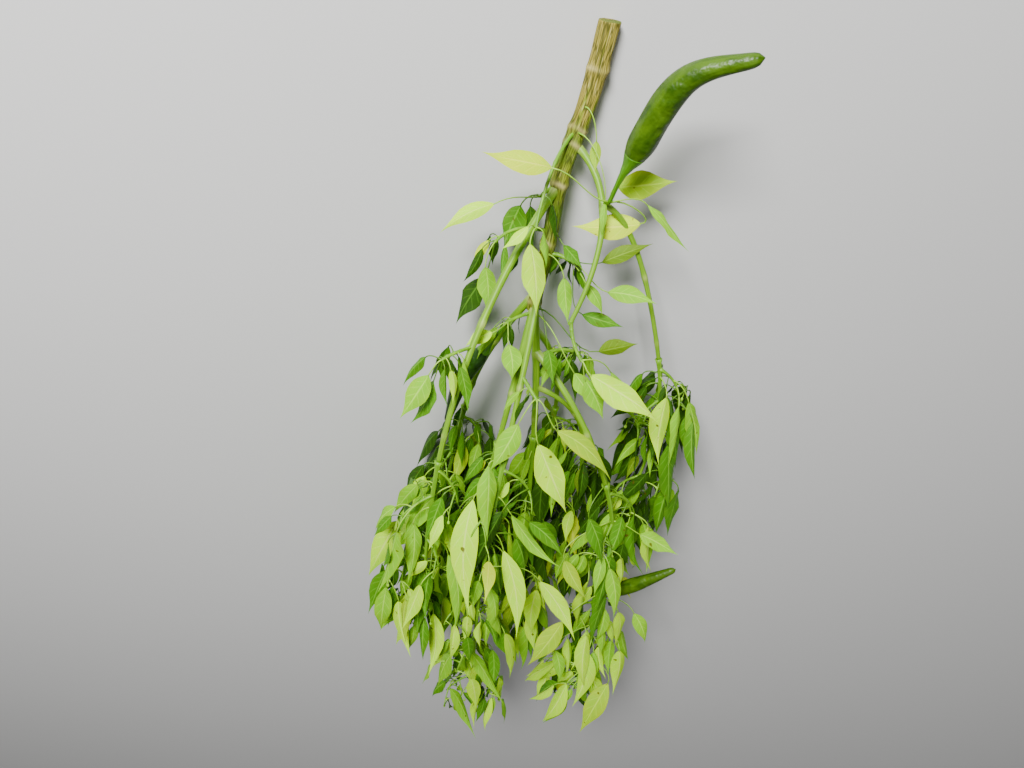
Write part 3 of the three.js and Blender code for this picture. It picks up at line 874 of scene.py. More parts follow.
class Gardener:
    """Grows the sprays and masses by one seeded rule, each within its own space."""

    # Tints from darkest to palest; the deal climbs it by painted shade, plus a random share.
    PAINTED_SHADE_LADDER = (Tint.DEEP, Tint.DEEP, Tint.DEEP, Tint.FRESH, Tint.FRESH, Tint.LIME, Tint.LIME, Tint.PALE)
    RARE = (Tint.OLIVE, Tint.OLIVE, Tint.STRAW, Tint.STRAW, Tint.STRAW, Tint.YELLOW)
    RARE_SHARE = 0.08
    BETWEEN = 130
    FINE_GAP = 3.4
    COARSE_SHARED = 0.03
    FINE_SHARED = 0.01
    TWIGLET_SHARED = 0.2
    ASIDE = 3.2
    SIGHT = np.array([0.0, 0.71, 0.7])
    SHOWN = np.arange(3.0, 66.0, 3.0)

    def __init__(self, limbs: dict[str, Limb], growths: Sequence[Growth]) -> None:
        """Measures the spaces.

        Args:
            limbs: the laid stem and boughs.
            growths: the laid sprays and masses.
        """
        self.growths = growths
        self._limbs = Trace.joined(Trace.of(limb.course, limb.radius_at, 12) for limb in limbs.values())
        self._own = {growth.name: growth.trace() for growth in growths}
        self._others = {
            growth.name: Trace.joined(trace for name, trace in self._own.items() if name != growth.name)
            for growth in growths
        }
        fruits = [fruit for growth in growths for fruit in growth.fruits]
        self._fruits = Trace.joined(fruit.trace() for fruit in fruits)
        seated = [leaf for growth in growths for leaf in growth.leaves]
        seated += [single.leaf() for single in SINGLES]
        self._seated = np.concatenate([leaf.marks() for leaf in seated])
        self._placed = self._cells_kept(seated, [fruit for fruit in fruits if fruit.slender])

    def _cells_kept(self, leaves: Sequence[Leaf], fruits: Sequence[Fruit]) -> set[tuple[int, ...]]:
        """The cells in which no further leaf grows.

        Args:
            leaves: the placed leaves, of which the bright ones stay in sight.
            fruits: the fruits that stay in sight.

        Returns:
            The cells of the leaves and of the lines of sight.
        """
        asides = (-self.ASIDE, 0.0, self.ASIDE)
        bodies = [leaf.body() + leaf.face * aside for leaf in leaves for aside in asides]
        shown = [leaf.body() for leaf in leaves if leaf.tint not in (Tint.DEEP, Tint.OLIVE)]
        for fruit in fruits:
            shown += [fruit.body_course().points(30) + DROOP * aside for aside in (-6, -3, 0, 3, 6)]
        ahead = [points + self.SIGHT * step for points in shown for step in self.SHOWN]
        return Room.cells_of(np.concatenate(bodies + ahead))

    def free(self, points: np.ndarray, growth: Growth) -> bool:
        """Whether points keep to the growth's space, off the floor and clear of all that is placed.

        Args:
            points: rows of x, y and z.
            growth: what they belong to.

        Returns:
            Whether they all do.
        """
        own = self._own[growth.name].clearance(points)
        return bool(
            (points[:, 2] > LIE.ground_gap - 0.01).all()
            and (points[:, 2] < LIE.crown_top).all()
            and (points[:, 1] > LIE.tips_y).all()
            and (np.abs(points[:, 0] - LIE.middle_x) < LIE.half_width).all()
            and (own < growth.reach * SIZES.overreach).all()
            and (self._others[growth.name].clearance(points) > own + SIZES.space_gap).all()
            and (self._limbs.clearance(points) > SIZES.limb_gap).all()
            and (self._fruits.clearance(points) > SIZES.limb_gap).all()
            and all_apart(points, self._seated, SIZES.seated_gap)
        )

    def hang(
        self, growth: Growth, root: np.ndarray, angle: float, size: float, luck: Luck, room: Room,
        fine: bool = False,
    ) -> None:
        """Hangs one leaf from a node, tried at several angles until it finds room.

        Args:
            growth: what the leaf belongs to.
            root: where its petiole starts.
            angle: the way that it leaves its twig.
            size: its share of a full leaf.
            luck: where its sizes are drawn from.
            room: what is taken already.
            fine: whether it is one of the finer leaves, which may pass through none of the others.
        """
        gap, shared = (self.FINE_GAP, self.FINE_SHARED) if fine else (SIZES.leaf_gap, self.COARSE_SHARED)
        for i in range(SIZES.retries):
            out = radial(angle + luck.about(0.8 + 0.4 * i))
            length = luck.between(*SIZES.length) * size * (1 - 0.03 * i)
            petiole = length * luck.between(*SIZES.petiole)
            base = on_ground(root + out * petiole * 0.85 + DROOP * petiole * (0.2 + 0.5 * luck.draw()))
            along = unit(DROOP + out * (0.1 + 0.4 * luck.draw()))
            tip = on_ground(base + along * length)
            width = length * luck.between(*SIZES.width)
            leaf = Leaf(root, base, tip, width, face_of(out, tip - base, luck.about(1.5)))
            marks = leaf.marks()
            if not (room.apart(marks[2:], gap) and self.free(marks, growth)):
                continue
            fits = room.clear(leaf.body(), shared)
            if fine and not fits:
                continue
            room.mark(marks)
            if fits:
                room.fill(leaf.body())
                leaf.tint = self._deal(growth, luck, marks[4])
                growth.leaves.append(leaf)
            return

    def _deal(self, growth: Growth, luck: Luck, middle: np.ndarray) -> Tint:
        """Deals a leaf its tint: the further out and up it hangs, the paler it is, so the darker tints are
        painted shade inside the foliage.

        Args:
            growth: what the leaf belongs to.
            luck: where the draw comes from.
            middle: the middle of the blade.

        Returns:
            The tint.
        """
        if luck.draw() < self.RARE_SHARE:
            return self.RARE[int(luck.draw() * len(self.RARE))]
        outward = float(self._own[growth.name].clearance(middle[None])[0]) / growth.reach
        height = middle[2] / LIE.crown_top
        # Painted shade: inner and lower leaves draw darker tints, with a random share mixed in.
        bright = 0.34 * outward + 0.64 * height + 0.8 * (luck.draw() - 0.47)
        return self.PAINTED_SHADE_LADDER[int(min(max(bright, 0.0), 0.999) * len(self.PAINTED_SHADE_LADDER))]

    def grow_spray(self, spray: Growth) -> None:
        """Hangs a spray's further leaves from the outer part of its stem, then smaller ones between.

        Args:
            spray: the spray.
        """
        room = Room((), self._placed)
        for k in range(spray.extra):
            root = spray.course.at(spray.END - 0.05 * (k % 3))
            self.hang(spray, root, k * GOLDEN_ANGLE, 0.8, spray.luck(Seed.LEAF, k), room)
        for k in range(2 * spray.extra + 6):
            luck = spray.luck(Seed.SPRAY, k)
            root = spray.course.at(spray.END - 0.09 * (k % 6))
            self.hang(spray, root, k * GOLDEN_ANGLE + 1, luck.between(0.6, 0.95), luck, room, True)

    def grow_mass(self, mass: Growth) -> None:
        """Grows a mass's twigs and leaves, then carries them to finer twigs.

        Args:
            mass: the mass.
        """
        room = Room(mass.course.points(25), self._placed)
        bearing: list[tuple[float, Optional[Course]]] = []
        for i in range(mass.twig_count):
            luck = mass.luck(Seed.TWIG, i)
            root = mass.course.at((i + 0.3) / mass.twig_count)
            around = i * GOLDEN_ANGLE + luck.about(0.8)
            out = radial(around)
            spread = mass.reach * (0.38 + 0.3 * luck.draw())
            fall = 18 + 40 * luck.draw()
            end = on_ground(root + out * spread + DROOP * fall)
            course = Course.bent(root, root + out * spread * 0.8 + DROOP * fall * 0.2, end)
            fits = all(self.free(course.at(share)[None], mass) for share in (0.5, 0.8, 1.0))
            if fits:
                mass.twigs.append(course)
                room.mark(course.at(share) for share in (0.3, 0.5, 0.7, 0.9))
            bearing.append((around, course if fits else None))
            for k, share in enumerate(SIZES.twig_nodes):
                node = course.at(share) if fits else root
                turn = around + (1 if k % 2 else -1) * (0.3 + 0.35 * k)
                size = 0.76 if k > 2 else 1.0
                self.hang(mass, node, turn, size, mass.luck(Seed.LEAF, i * 10 + k), room)
        root = mass.course.at(0.98)
        for k in range(SIZES.crown_leaves):
            self.hang(mass, root, k * 2.1, 0.9, mass.luck(Seed.LEAF, 500 + k), room)
        self._refine(mass, bearing, room)

    def _refine(self, mass: Growth, bearing: list[tuple[float, Optional[Course]]], room: Room) -> None:
        """Adds twiglets and smaller leaves between those of the coarse rule.

        Args:
            mass: the mass.
            bearing: each twig's bearing, and its course where it found room.
            room: what is taken already.
        """
        room.fill(mass.course.points(100))
        for twig in mass.twigs:
            room.fill(twig.points(16))
        for i, (around, course) in enumerate(bearing):
            if course is None:
                continue
            for k, share in enumerate((0.45, 0.68, 0.9)):
                luck = mass.luck(Seed.TWIGLET, i * 10 + k)
                start = course.at(share)
                out = radial(around + (1 if k % 2 else -1) * luck.between(0.7, 1.6))
                length = luck.between(14, 30)
                end = on_ground(start + out * length * 0.7 + DROOP * length * 0.7)
                twiglet = Course.bent(start, start + out * length * 0.6 + DROOP * length * 0.1, end)
                line = twiglet.points(9)
                if not (self.free(line[-1:], mass) and room.clear(line[3:], self.TWIGLET_SHARED)):
                    continue
                mass.twiglets.append(twiglet)
                room.fill(line)
                for j, at in enumerate((0.6, 0.98, 0.98)):
                    angle, size = around + k + 2.2 * j, luck.between(0.85, 1.25)
                    self.hang(mass, twiglet.at(at), angle, size, luck, room, True)
        for k in range(self.BETWEEN):
            luck = mass.luck(Seed.BETWEEN, k)
            bearer = mass.twigs[k // 2 % len(mass.twigs)] if k % 2 and mass.twigs else mass.course
            root = bearer.at(0.04 + 0.95 * ((k * 0.618) % 1.0))
            self.hang(mass, root, k * GOLDEN_ANGLE, luck.between(0.85, 1.3), luck, room, True)


def drawn(name: str, bm: bmesh.types.BMesh) -> bpy.types.Mesh:
    """The mesh of a finished drawing.

    Args:
        name: the mesh's name.
        bm: the drawing, which is freed.

    Returns:
        The mesh.
    """
    mesh = bpy.data.meshes.new(name)
    bm.to_mesh(mesh)
    bm.free()
    return mesh


def linked(name: str, data: bpy.types.ID) -> bpy.types.Object:
    """A new object in the scene."""
    item = bpy.data.objects.new(name, data)
    bpy.context.scene.collection.objects.link(item)
    return item


def rolled_out(angle: float, middle: float) -> float:
    """An angle round a stem, counted on from the nearest turn to a face's middle."""
    return (angle - middle + math.pi) % (2 * math.pi) - math.pi + middle


class MeshStore:
    """Gathers copies of a template mesh as arrays and turns them into one object."""

    def __init__(self, template: bpy.types.Mesh) -> None:
        """Reads the template's arrays.

        Args:
            template: a small closed mesh with its own map.
        """
        self.shape = self._read(template.vertices, "co", 3, float)
        self._edges = self._read(template.edges, "vertices", 2, int)
        self._loop_verts = self._read(template.loops, "vertex_index", 1, int)[:, 0]
        self._loop_edges = self._read(template.loops, "edge_index", 1, int)[:, 0]
        self._starts = self._read(template.polygons, "loop_start", 1, int)[:, 0]
        self._slots = self._read(template.polygons, "material_index", 1, int)[:, 0]
        self._uv = self._read(template.uv_layers[MAP].data, "uv", 2, float)
        sharp = template.attributes.get("sharp_edge")
        self._sharp = np.zeros(len(self._edges), bool)
        if sharp:
            self._sharp = self._read(sharp.data, "value", 1, bool)[:, 0]

    @staticmethod
    def _read(data: object, name: str, width: int, kind: type) -> np.ndarray:
        """One named value of each item as rows."""
        values = np.empty(len(data) * width, dtype=kind)
        data.foreach_get(name, values)
        return values.reshape(-1, width)

    def cast(self, name: str, places: np.ndarray) -> bpy.types.Object:
        """Makes one object of all the copies.

        Args:
            name: the object's name.
            places: copies by vertices by 3, in metres.

        Returns:
            The new object.
        """
        copies, verts = places.shape[:2]
        edges, loops, faces = len(self._edges), len(self._loop_verts), len(self._starts)
        steps = np.arange(copies)[:, None]
        mesh = bpy.data.meshes.new(name)
        mesh.vertices.add(copies * verts)
        mesh.edges.add(copies * edges)
        mesh.loops.add(copies * loops)
        mesh.polygons.add(copies * faces)
        sharp = mesh.attributes.new("sharp_edge", "BOOLEAN", "EDGE").data
        for data, key, values in (
            (mesh.vertices, "co", places),
            (mesh.edges, "vertices", self._edges[None] + steps[..., None] * verts),
            (mesh.loops, "vertex_index", self._loop_verts[None] + steps * verts),
            (mesh.loops, "edge_index", self._loop_edges[None] + steps * edges),
            (mesh.polygons, "loop_start", self._starts[None] + steps * loops),
            (mesh.polygons, "material_index", np.tile(self._slots, copies)),
            (mesh.polygons, "use_smooth", np.ones(copies * faces, bool)),
            (sharp, "value", np.tile(self._sharp, copies)),
        ):
            data.foreach_set(key, values.reshape(-1))
        uv = mesh.uv_layers.new(name=MAP).data
        uv.foreach_set("uv", np.tile(self._uv, (copies, 1)).reshape(-1))
        mesh.update()
        mesh.validate()
        return linked(name, mesh)


def dressed(piece: bpy.types.Object, slot: str, *finishes: "Finish") -> bpy.types.Object:
    """Gives a piece its finishes and its body, and reports it.

    Args:
        piece: the finished object.
        slot: the record's material slot; not used.
        finishes: one for each of the mesh's own slots.

    Returns:
        The same object.
    """
    piece.data.materials.clear()
    for finish in finishes:
        piece.data.materials.append(finish.material())
    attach(piece, "root")
    LOG.info("%s: %d faces", piece.name, len(piece.data.polygons))
    return piece


def draw_tube(bm: bmesh.types.BMesh, rings: int, sides: int) -> tuple[list, list]:
    """Draws a closed tube of radius 1 from z = 0 to z = 1, ring by ring.

    Args:
        bm: where it is drawn.
        rings: the number of rings.
        sides: the number of sides.

    Returns:
        The two end faces, and the vertices of each ring.
    """
    bmesh.ops.create_circle(bm, cap_ends=True, segments=sides, radius=1.0)
    first = top = bm.faces[:][0]
    rows = [list(first.verts)]
    for _ in range(rings - 1):
        grown = bmesh.ops.extrude_face_region(bm, geom=[top])["geom"]
        if top is not first:
            bmesh.ops.delete(bm, geom=[top], context="FACES_ONLY")
        top = next(item for item in grown if isinstance(item, bmesh.types.BMFace))
        rows.append([item for item in grown if isinstance(item, bmesh.types.BMVert)])
        bmesh.ops.translate(bm, verts=rows[-1], vec=(0, 0, 1.0 / (rings - 1)))
    bmesh.ops.recalc_face_normals(bm, faces=bm.faces[:])
    return [first, top], rows


def batch(values: Sequence[np.ndarray]) -> np.ndarray:
    """Vectors of many leaves as rows with a middle axis for their vertices."""
    return np.array(values)[:, None, :]


class LeafMould:
    """Shapes leaf blades: a closed blade, thickest at its midrib, with a drawn-out point."""

    ROWS = 13
    COLUMNS = 6
    THICKNESS = 0.32

    def __init__(self) -> None:
        """Builds the template blade with x across, y along and z through it."""
        bm = bmesh.new()
        bmesh.ops.create_grid(bm, x_segments=self.COLUMNS, y_segments=self.ROWS, size=1.0)
        outer = list(bm.faces)
        inner = bmesh.ops.duplicate(bm, geom=bm.verts[:] + bm.edges[:] + bm.faces[:])
        inner_faces = [item for item in inner["geom"] if isinstance(item, bmesh.types.BMFace)]
        inner_verts = {item for item in inner["geom"] if isinstance(item, bmesh.types.BMVert)}
        bmesh.ops.reverse_faces(bm, faces=inner_faces)
        uv = bm.loops.layers.uv.new(MAP)
        for faces, slot in ((outer, 0), (inner_faces, 1)):
            for face in faces:
                face.material_index = slot
                for loop in face.loops:
                    across, along = loop.vert.co.x, (loop.vert.co.y + 1) / 2
                    loop[uv].uv = (0.25 + 0.24 * across + 0.5 * slot, 0.01 + 0.98 * along)
        for vert in bm.verts:
            across, along = vert.co.x, (vert.co.y + 1) / 2
            along -= 0.075 * math.sin(2 * math.pi * along)
            rise = (1 - across * across) ** 0.5 if 0 < along < 1 and abs(across) < 1 else 0.0
            side = -1 if vert in inner_verts else 1
            vert.co = Vector((across * float(outline(np.array(along))), along, side * rise))
        bmesh.ops.remove_doubles(bm, verts=bm.verts[:], dist=1e-5)
        for edge in bm.edges:
            slots = {face.material_index for face in edge.link_faces}
            edge.smooth = len(slots) == 1
        self._store = MeshStore(drawn("leaf_template", bm))

    def cast(self, name: str, leaves: Sequence[Leaf]) -> bpy.types.Object:
        """Makes one object of many blades.

        Args:
            name: the object's name.
            leaves: the leaves.

        Returns:
            The new object.
        """
        across, along, through = self._store.shape.T
        keel = self.THICKNESS / 2 * through
        places = np.array([leaf.surface(across, along, keel) for leaf in leaves])
        places[..., 2] = np.maximum(places[..., 2], SIZES.floor_gap)
        return self._store.cast(name, PLANT.to_row(places))


class TubeMould:
    """Shapes many thin stems: a closed tube whose rings follow a bent line."""

    def __init__(self, rings: int, sides: int) -> None:
        """Builds the template tube along z.

        Args:
            rings: the number of rings.
            sides: the number of sides.
        """
        bm = bmesh.new()
        draw_tube(bm, rings, sides)
        uv = bm.loops.layers.uv.new(MAP)
        for face in bm.faces:
            middle = math.atan2(face.calc_center_median().y, face.calc_center_median().x)
            for loop in face.loops:
                turn = rolled_out(math.atan2(loop.vert.co.y, loop.vert.co.x), middle)
                loop[uv].uv = (0.5 + 0.48 * turn / math.pi * 0.9, 0.01 + 0.98 * loop.vert.co.z)
        self._store = MeshStore(drawn("tube_template", bm))
        self._rings = rings

    def cast(self, name: str, lines: np.ndarray, radii: np.ndarray) -> bpy.types.Object:
        """Makes one object of many tubes.

        Args:
            name: the object's name.
            lines: tubes by rings by 3, the middle of each ring.
            radii: tubes by rings.

        Returns:
            The new object.
        """
        shape = self._store.shape
        ring = np.rint(shape[:, 2] * (self._rings - 1)).astype(int)
        ways = np.gradient(lines, axis=1)
        ways /= np.maximum(np.linalg.norm(ways, axis=2, keepdims=True), 1e-9)
        reference = np.where(np.abs(ways[..., 2:3]) > 0.9, np.array([1.0, 0, 0]), UP)
        side = np.cross(ways, reference)
        side /= np.linalg.norm(side, axis=2, keepdims=True)
        back = np.cross(side, ways)
        radius = radii[:, ring][..., None]
        places = lines[:, ring] + side[:, ring] * shape[None, :, 0:1] * radius
        places += back[:, ring] * shape[None, :, 1:2] * radius
        places[..., 2] = np.maximum(places[..., 2], SIZES.floor_gap)
        return self._store.cast(name, PLANT.to_row(places))


class Graph:
    """A short way to write a material's nodes."""

    def __init__(self, name: str) -> None:
        """Starts a material with a principled shader.

        Args:
            name: the material's name.
        """
        self.material = bpy.data.materials.new(name)
        self.material.use_nodes = True
        self.tree = self.material.node_tree
        self.shader = self.tree.nodes["Principled BSDF"]

    def add(self, kind: str, inputs: Optional[dict] = None, **settings: object) -> bpy.types.Node:
        """Adds a node.

        Args:
            kind: the node's type.
            inputs: values or sockets by input name or number.
            settings: the node's own settings.

        Returns:
            The node.
        """
        node = self.tree.nodes.new(kind)
        for name, value in settings.items():
            setattr(node, name, value)
        for name, value in (inputs or {}).items():
            self.feed(node.inputs[name], value)
        return node

    def feed(self, socket: bpy.types.NodeSocket, value: object) -> None:
        """Links a socket to an input, or sets the input's value.

        Args:
            socket: the input.
            value: a socket or a value.
        """
        if isinstance(value, bpy.types.NodeSocket):
            self.tree.links.new(value, socket)
        else:
            socket.default_value = value

    def spot(self) -> bpy.types.NodeSocket:
        """The place on the piece's own map."""
        return self.add("ShaderNodeUVMap", uv_map=MAP).outputs["UV"]

    def place(self) -> bpy.types.NodeSocket:
        """The place in the object."""
        return self.add("ShaderNodeTexCoord").outputs["Object"]

    def scaled(self, vector: object, across: float, along: float) -> bpy.types.NodeSocket:
        """A place on the map with its two numbers scaled."""
        return self.add("ShaderNodeMapping", {"Vector": vector, "Scale": (across, along, 1.0)}).outputs[0]

    def joint(self, share: float) -> bpy.types.NodeSocket:
        """How far a node's cork covers the place, times a share."""
        return self.times(self.add("ShaderNodeAttribute", attribute_name="joint").outputs["Fac"], share)

    def math(self, operation: str, *values: object) -> bpy.types.NodeSocket:
        """The result of one sum."""
        return self.add("ShaderNodeMath", dict(enumerate(values)), operation=operation).outputs[0]

    def times(self, first: object, second: object) -> bpy.types.NodeSocket:
        """Two values multiplied."""
        return self.math("MULTIPLY", first, second)

    def off_middle(self, value: object) -> bpy.types.NodeSocket:
        """How far a value's fraction is from a half."""
        return self.math("ABSOLUTE", self.math("SUBTRACT", self.math("FRACT", value), 0.5))

    def step(
        self, value: object, low: float, high: float, to_low: float = 0.0, to_high: float = 1.0
    ) -> bpy.types.NodeSocket:
        """A soft step of a value between two limits.

        Args:
            value: the value.
            low: the limit where the step starts.
            high: the limit where it ends.
            to_low: the result at the start.
            to_high: the result at the end.

        Returns:
            The result.
        """
        inputs = {"Value": value, "From Min": low, "From Max": high, "To Min": to_low, "To Max": to_high}
        return self.add("ShaderNodeMapRange", inputs, interpolation_type="SMOOTHSTEP").outputs["Result"]

    def mix(self, share: object, first: object, second: object) -> bpy.types.NodeSocket:
        """Two colours mixed.

        Args:
            share: how much of the second.
            first: a colour.
            second: another.

        Returns:
            The mixed colour.
        """
        node = self.add("ShaderNodeMix", data_type="RGBA")
        self.feed(node.inputs["Factor"], share)
        self.feed(node.inputs[6], first)
        self.feed(node.inputs[7], second)
        return node.outputs[2]

    def noise(self, vector: object, scale: float, detail: float = 3.0) -> bpy.types.NodeSocket:
        """Soft noise."""
        inputs = {"Vector": vector, "Scale": scale, "Detail": detail}
        return self.add("ShaderNodeTexNoise", inputs).outputs["Fac"]

    def bump(self, height: object, strength: float, distance: float) -> None:
        """Gives the shader a relief."""
        inputs = {"Height": height, "Strength": strength, "Distance": distance}
        self.feed(self.shader.inputs["Normal"], self.add("ShaderNodeBump", inputs).outputs["Normal"])

    def coat(self, colour: object, roughness: float, specular: float = 0.5) -> None:
        """Gives the shader its colour, roughness and gloss."""
        values = {"Base Color": colour, "Roughness": roughness, "Specular IOR Level": specular}
        for name, value in values.items():
            self.feed(self.shader.inputs[name], value)

    def soften(self, weight: float, reach: tuple[float, float, float]) -> None:
        """Lets light spread under the surface, each colour by its own reach."""
        for name, value in (("Weight", weight), ("Radius", reach), ("Scale", 0.002)):
            self.feed(self.shader.inputs[f"Subsurface {name}"], value)


def srgb(code: str) -> tuple[float, float, float, float]:
    """A colour from its six-figure code, in the renderer's own linear numbers."""
    parts = [int(code[i : i + 2], 16) / 255 for i in (0, 2, 4)]
    linear = [part / 12.92 if part <= 0.04045 else ((part + 0.055) / 1.055) ** 2.4 for part in parts]
    return (*linear, 1.0)


class Finish:
    """A finish makes its material once and gives it to every piece that asks."""

    _made: dict[object, bpy.types.Material] = {}

    def material(self) -> bpy.types.Material:
        """The finish's material."""
        if self not in Finish._made:
            Finish._made[self] = self.paint()
        return Finish._made[self]

    def paint(self) -> bpy.types.Material:
        """Makes the material."""
        raise NotImplementedError


@dataclass(frozen=True)
class LeafFinish(Finish):
    """A matte leaf with a pale midrib, side veins, a faint mottle and a few brown specks."""

    name: str
    blade: str
    vein: str
    edge: str
    roughness: float = 0.6
    vein_depth: float = 0.75
    vein_rows: float = 8.5
    specks: str = "54480e"

    def paint(self) -> bpy.types.Material:
        """Makes the material from the blade's own map."""
        graph = Graph(self.name)
        parts = graph.add("ShaderNodeSeparateXYZ", {"Vector": graph.spot()}).outputs
        out = graph.times(graph.off_middle(graph.times(parts["X"], 2.0)), 2.0)
        midrib = graph.step(out, 0.03, 0.1, 1.0, 0.0)
        slant = graph.math("SUBTRACT", parts["Y"], graph.times(graph.math("POWER", out, 0.8), 0.17))
        row = graph.off_middle(graph.times(slant, self.vein_rows))
        rib = graph.times(graph.step(row, 0.03, 0.12, 1.0, 0.0), graph.step(out, 0.55, 0.95, 1.0, 0.0))
        veins = graph.math("MAXIMUM", midrib, graph.times(rib, 0.42))
        place = graph.place()
        mottle = graph.step(graph.noise(place, 55.0, 4.0), 0.35, 0.7, 0.0, 0.55)
        shade = graph.math("ADD", graph.step(out, 0.5, 1.0, 0.0, 0.35), mottle)
        body = graph.mix(shade, srgb(self.blade), srgb(self.edge))
        veined = graph.mix(graph.times(veins, self.vein_depth), body, srgb(self.vein))
        speckle = graph.step(graph.noise(place, 110.0, 1.0), 0.73, 0.78, 0.0, 0.85)
        graph.coat(graph.mix(speckle, veined, srgb(self.specks)), self.roughness, 0.18)
        graph.soften(0.12, (0.6, 1.0, 0.25))
        fine = graph.times(graph.noise(place, 420.0, 2.0), 0.25)
        graph.bump(graph.math("ADD", graph.times(veins, 0.8), fine), 0.5, 0.0006)
        return graph.material


@dataclass(frozen=True)
class StemFinish(Finish):
    """A green stem with long fine ridges, paler towards its nodes."""

    name: str
    body: str
    ridge: str
    roughness: float = 0.42
    stripes: float = 9.0
    cork: str = "c8cc78"

    def paint(self) -> bpy.types.Material:
        """Makes the material from the stem's own map: x goes round it and y along."""
        graph = Graph(self.name)
        lines = graph.noise(graph.scaled(graph.spot(), self.stripes, 0.8), 3.0)
        patch = graph.noise(graph.place(), 40.0)
        share = graph.times(graph.step(lines, 0.42, 0.68), graph.step(patch, 0.3, 0.7, 0.45, 1.0))
        body = graph.mix(share, srgb(self.body), srgb(self.ridge))
        graph.coat(graph.mix(graph.joint(0.5), body, srgb(self.cork)), self.roughness, 0.45)
        graph.soften(0.1, (0.5, 1.0, 0.2))
        graph.bump(lines, 0.35, 0.0004)
        return graph.material


@dataclass(frozen=True)
class BarkFinish(Finish):
    """Half woody bark: olive, netted with fine lines, tan towards the cut end and pale at its nodes."""

    name: str = "striped_bark"
    green: str = "5c7c06"
    olive: str = "86901a"
    tan: str = "a4963a"
    dark: str = "2e3604"
    pale: str = "dccf84"
    cork: str = "d2c47c"

    def paint(self) -> bpy.types.Material:
        """Makes the material from the stem's own map: x goes round it and y along, 0 at the cut."""
        graph = Graph(self.name)
        spot = graph.spot()
        along = graph.add("ShaderNodeSeparateXYZ", {"Vector": spot}).outputs["Y"]
        stretched = graph.scaled(spot, 30.0, 11.0)
        inputs = {"Vector": stretched, "Scale": 1.0}
        net = graph.add("ShaderNodeTexVoronoi", inputs, feature="DISTANCE_TO_EDGE").outputs["Distance"]
        fibres = graph.noise(stretched, 1.6)
        bands = graph.noise(graph.scaled(spot, 9.0, 2.6), 1.0)
        patch = graph.step(graph.noise(graph.place(), 26.0, 2.0), 0.35, 0.65)
        body = graph.mix(patch, srgb(self.green), srgb(self.olive))
        woody = graph.math("ADD", bands, graph.step(along, 0.5, 0.06, -0.2, 0.2))
        barked = graph.mix(graph.step(woody, 0.46, 0.6), body, srgb(self.tan))
        pale = graph.times(graph.step(fibres, 0.54, 0.7, 0.0, 0.65), graph.step(along, 0.5, 0.1, 0.45, 1.0))
        streaked = graph.mix(pale, barked, srgb(self.pale))
        shaded = graph.math("MAXIMUM", graph.step(net, 0.14, 0.03), graph.step(fibres, 0.44, 0.34))
        colour = graph.mix(graph.times(shaded, 0.8), streaked, srgb(self.dark))
        graph.coat(graph.mix(graph.joint(0.7), colour, srgb(self.cork)), 0.72, 0.25)
        graph.bump(graph.math("ADD", graph.times(bands, 0.6), fibres), 0.7, 0.0006)
        return graph.material


@dataclass(frozen=True)
class CutFinish(Finish):
    """The pale face of the cut: a ring of green bark, pale wood and a soft pith."""

    name: str = "cut_wood"
    wood: str = "e2d6a4"
    grain: str = "c8b67e"
    pith: str = "ece6cf"
    rim: str = "8f9a4e"

    def paint(self) -> bpy.types.Material:
        """Makes the material from the face's own map, centred on 0.5."""
        graph = Graph(self.name)
        spot = graph.spot()
        centred = graph.add("ShaderNodeVectorMath", {0: spot, 1: (0.5, 0.5, 0.0)}, operation="DISTANCE")
        inward = centred.outputs["Value"]
        grain = graph.noise(graph.scaled(spot, 30.0, 30.0), 2.0, 4.0)
        wood = graph.mix(graph.step(grain, 0.35, 0.7), srgb(self.wood), srgb(self.grain))
        pith = graph.mix(graph.step(inward, 0.10, 0.16), srgb(self.pith), wood)
        rim = graph.mix(graph.step(inward, 0.40, 0.46), pith, srgb(self.rim))
        graph.coat(rim, 0.85)
        graph.bump(grain, 0.5, 0.0006)
        return graph.material


@dataclass(frozen=True)
class FruitFinish(Finish):
    """A glossy green fruit with darker and lighter drifts along it."""

    name: str
    light: str
    deep: str
    roughness: float = 0.4

    def paint(self) -> bpy.types.Material:
        """Makes the material from the fruit's own map and its place."""
        graph = Graph(self.name)
        drift = graph.noise(graph.scaled(graph.spot(), 4.0, 2.0), 2.2)
        place = graph.place()
        dapple = graph.noise(place, 70.0, 2.0)
        dapples = graph.step(dapple, 0.4, 0.6, 0.0, 0.45)
        share = graph.math("ADD", graph.step(drift, 0.4, 0.6, 0.0, 0.55), dapples)
        graph.coat(graph.mix(share, srgb(self.light), srgb(self.deep)), self.roughness, 0.32)
        dent = graph.times(graph.noise(place, 150.0, 2.0), 0.5)
        graph.bump(graph.math("ADD", dapple, dent), 0.9, 0.0026)
        return graph.material


@dataclass(frozen=True)
class FloorFinish(Finish):
    """The plain pale floor."""

    name: str = "pale_floor"

    def paint(self) -> bpy.types.Material:
        """Makes the material."""
        graph = Graph(self.name)
        graph.coat((0.72, 0.715, 0.70, 1.0), 0.75)
        return graph.material


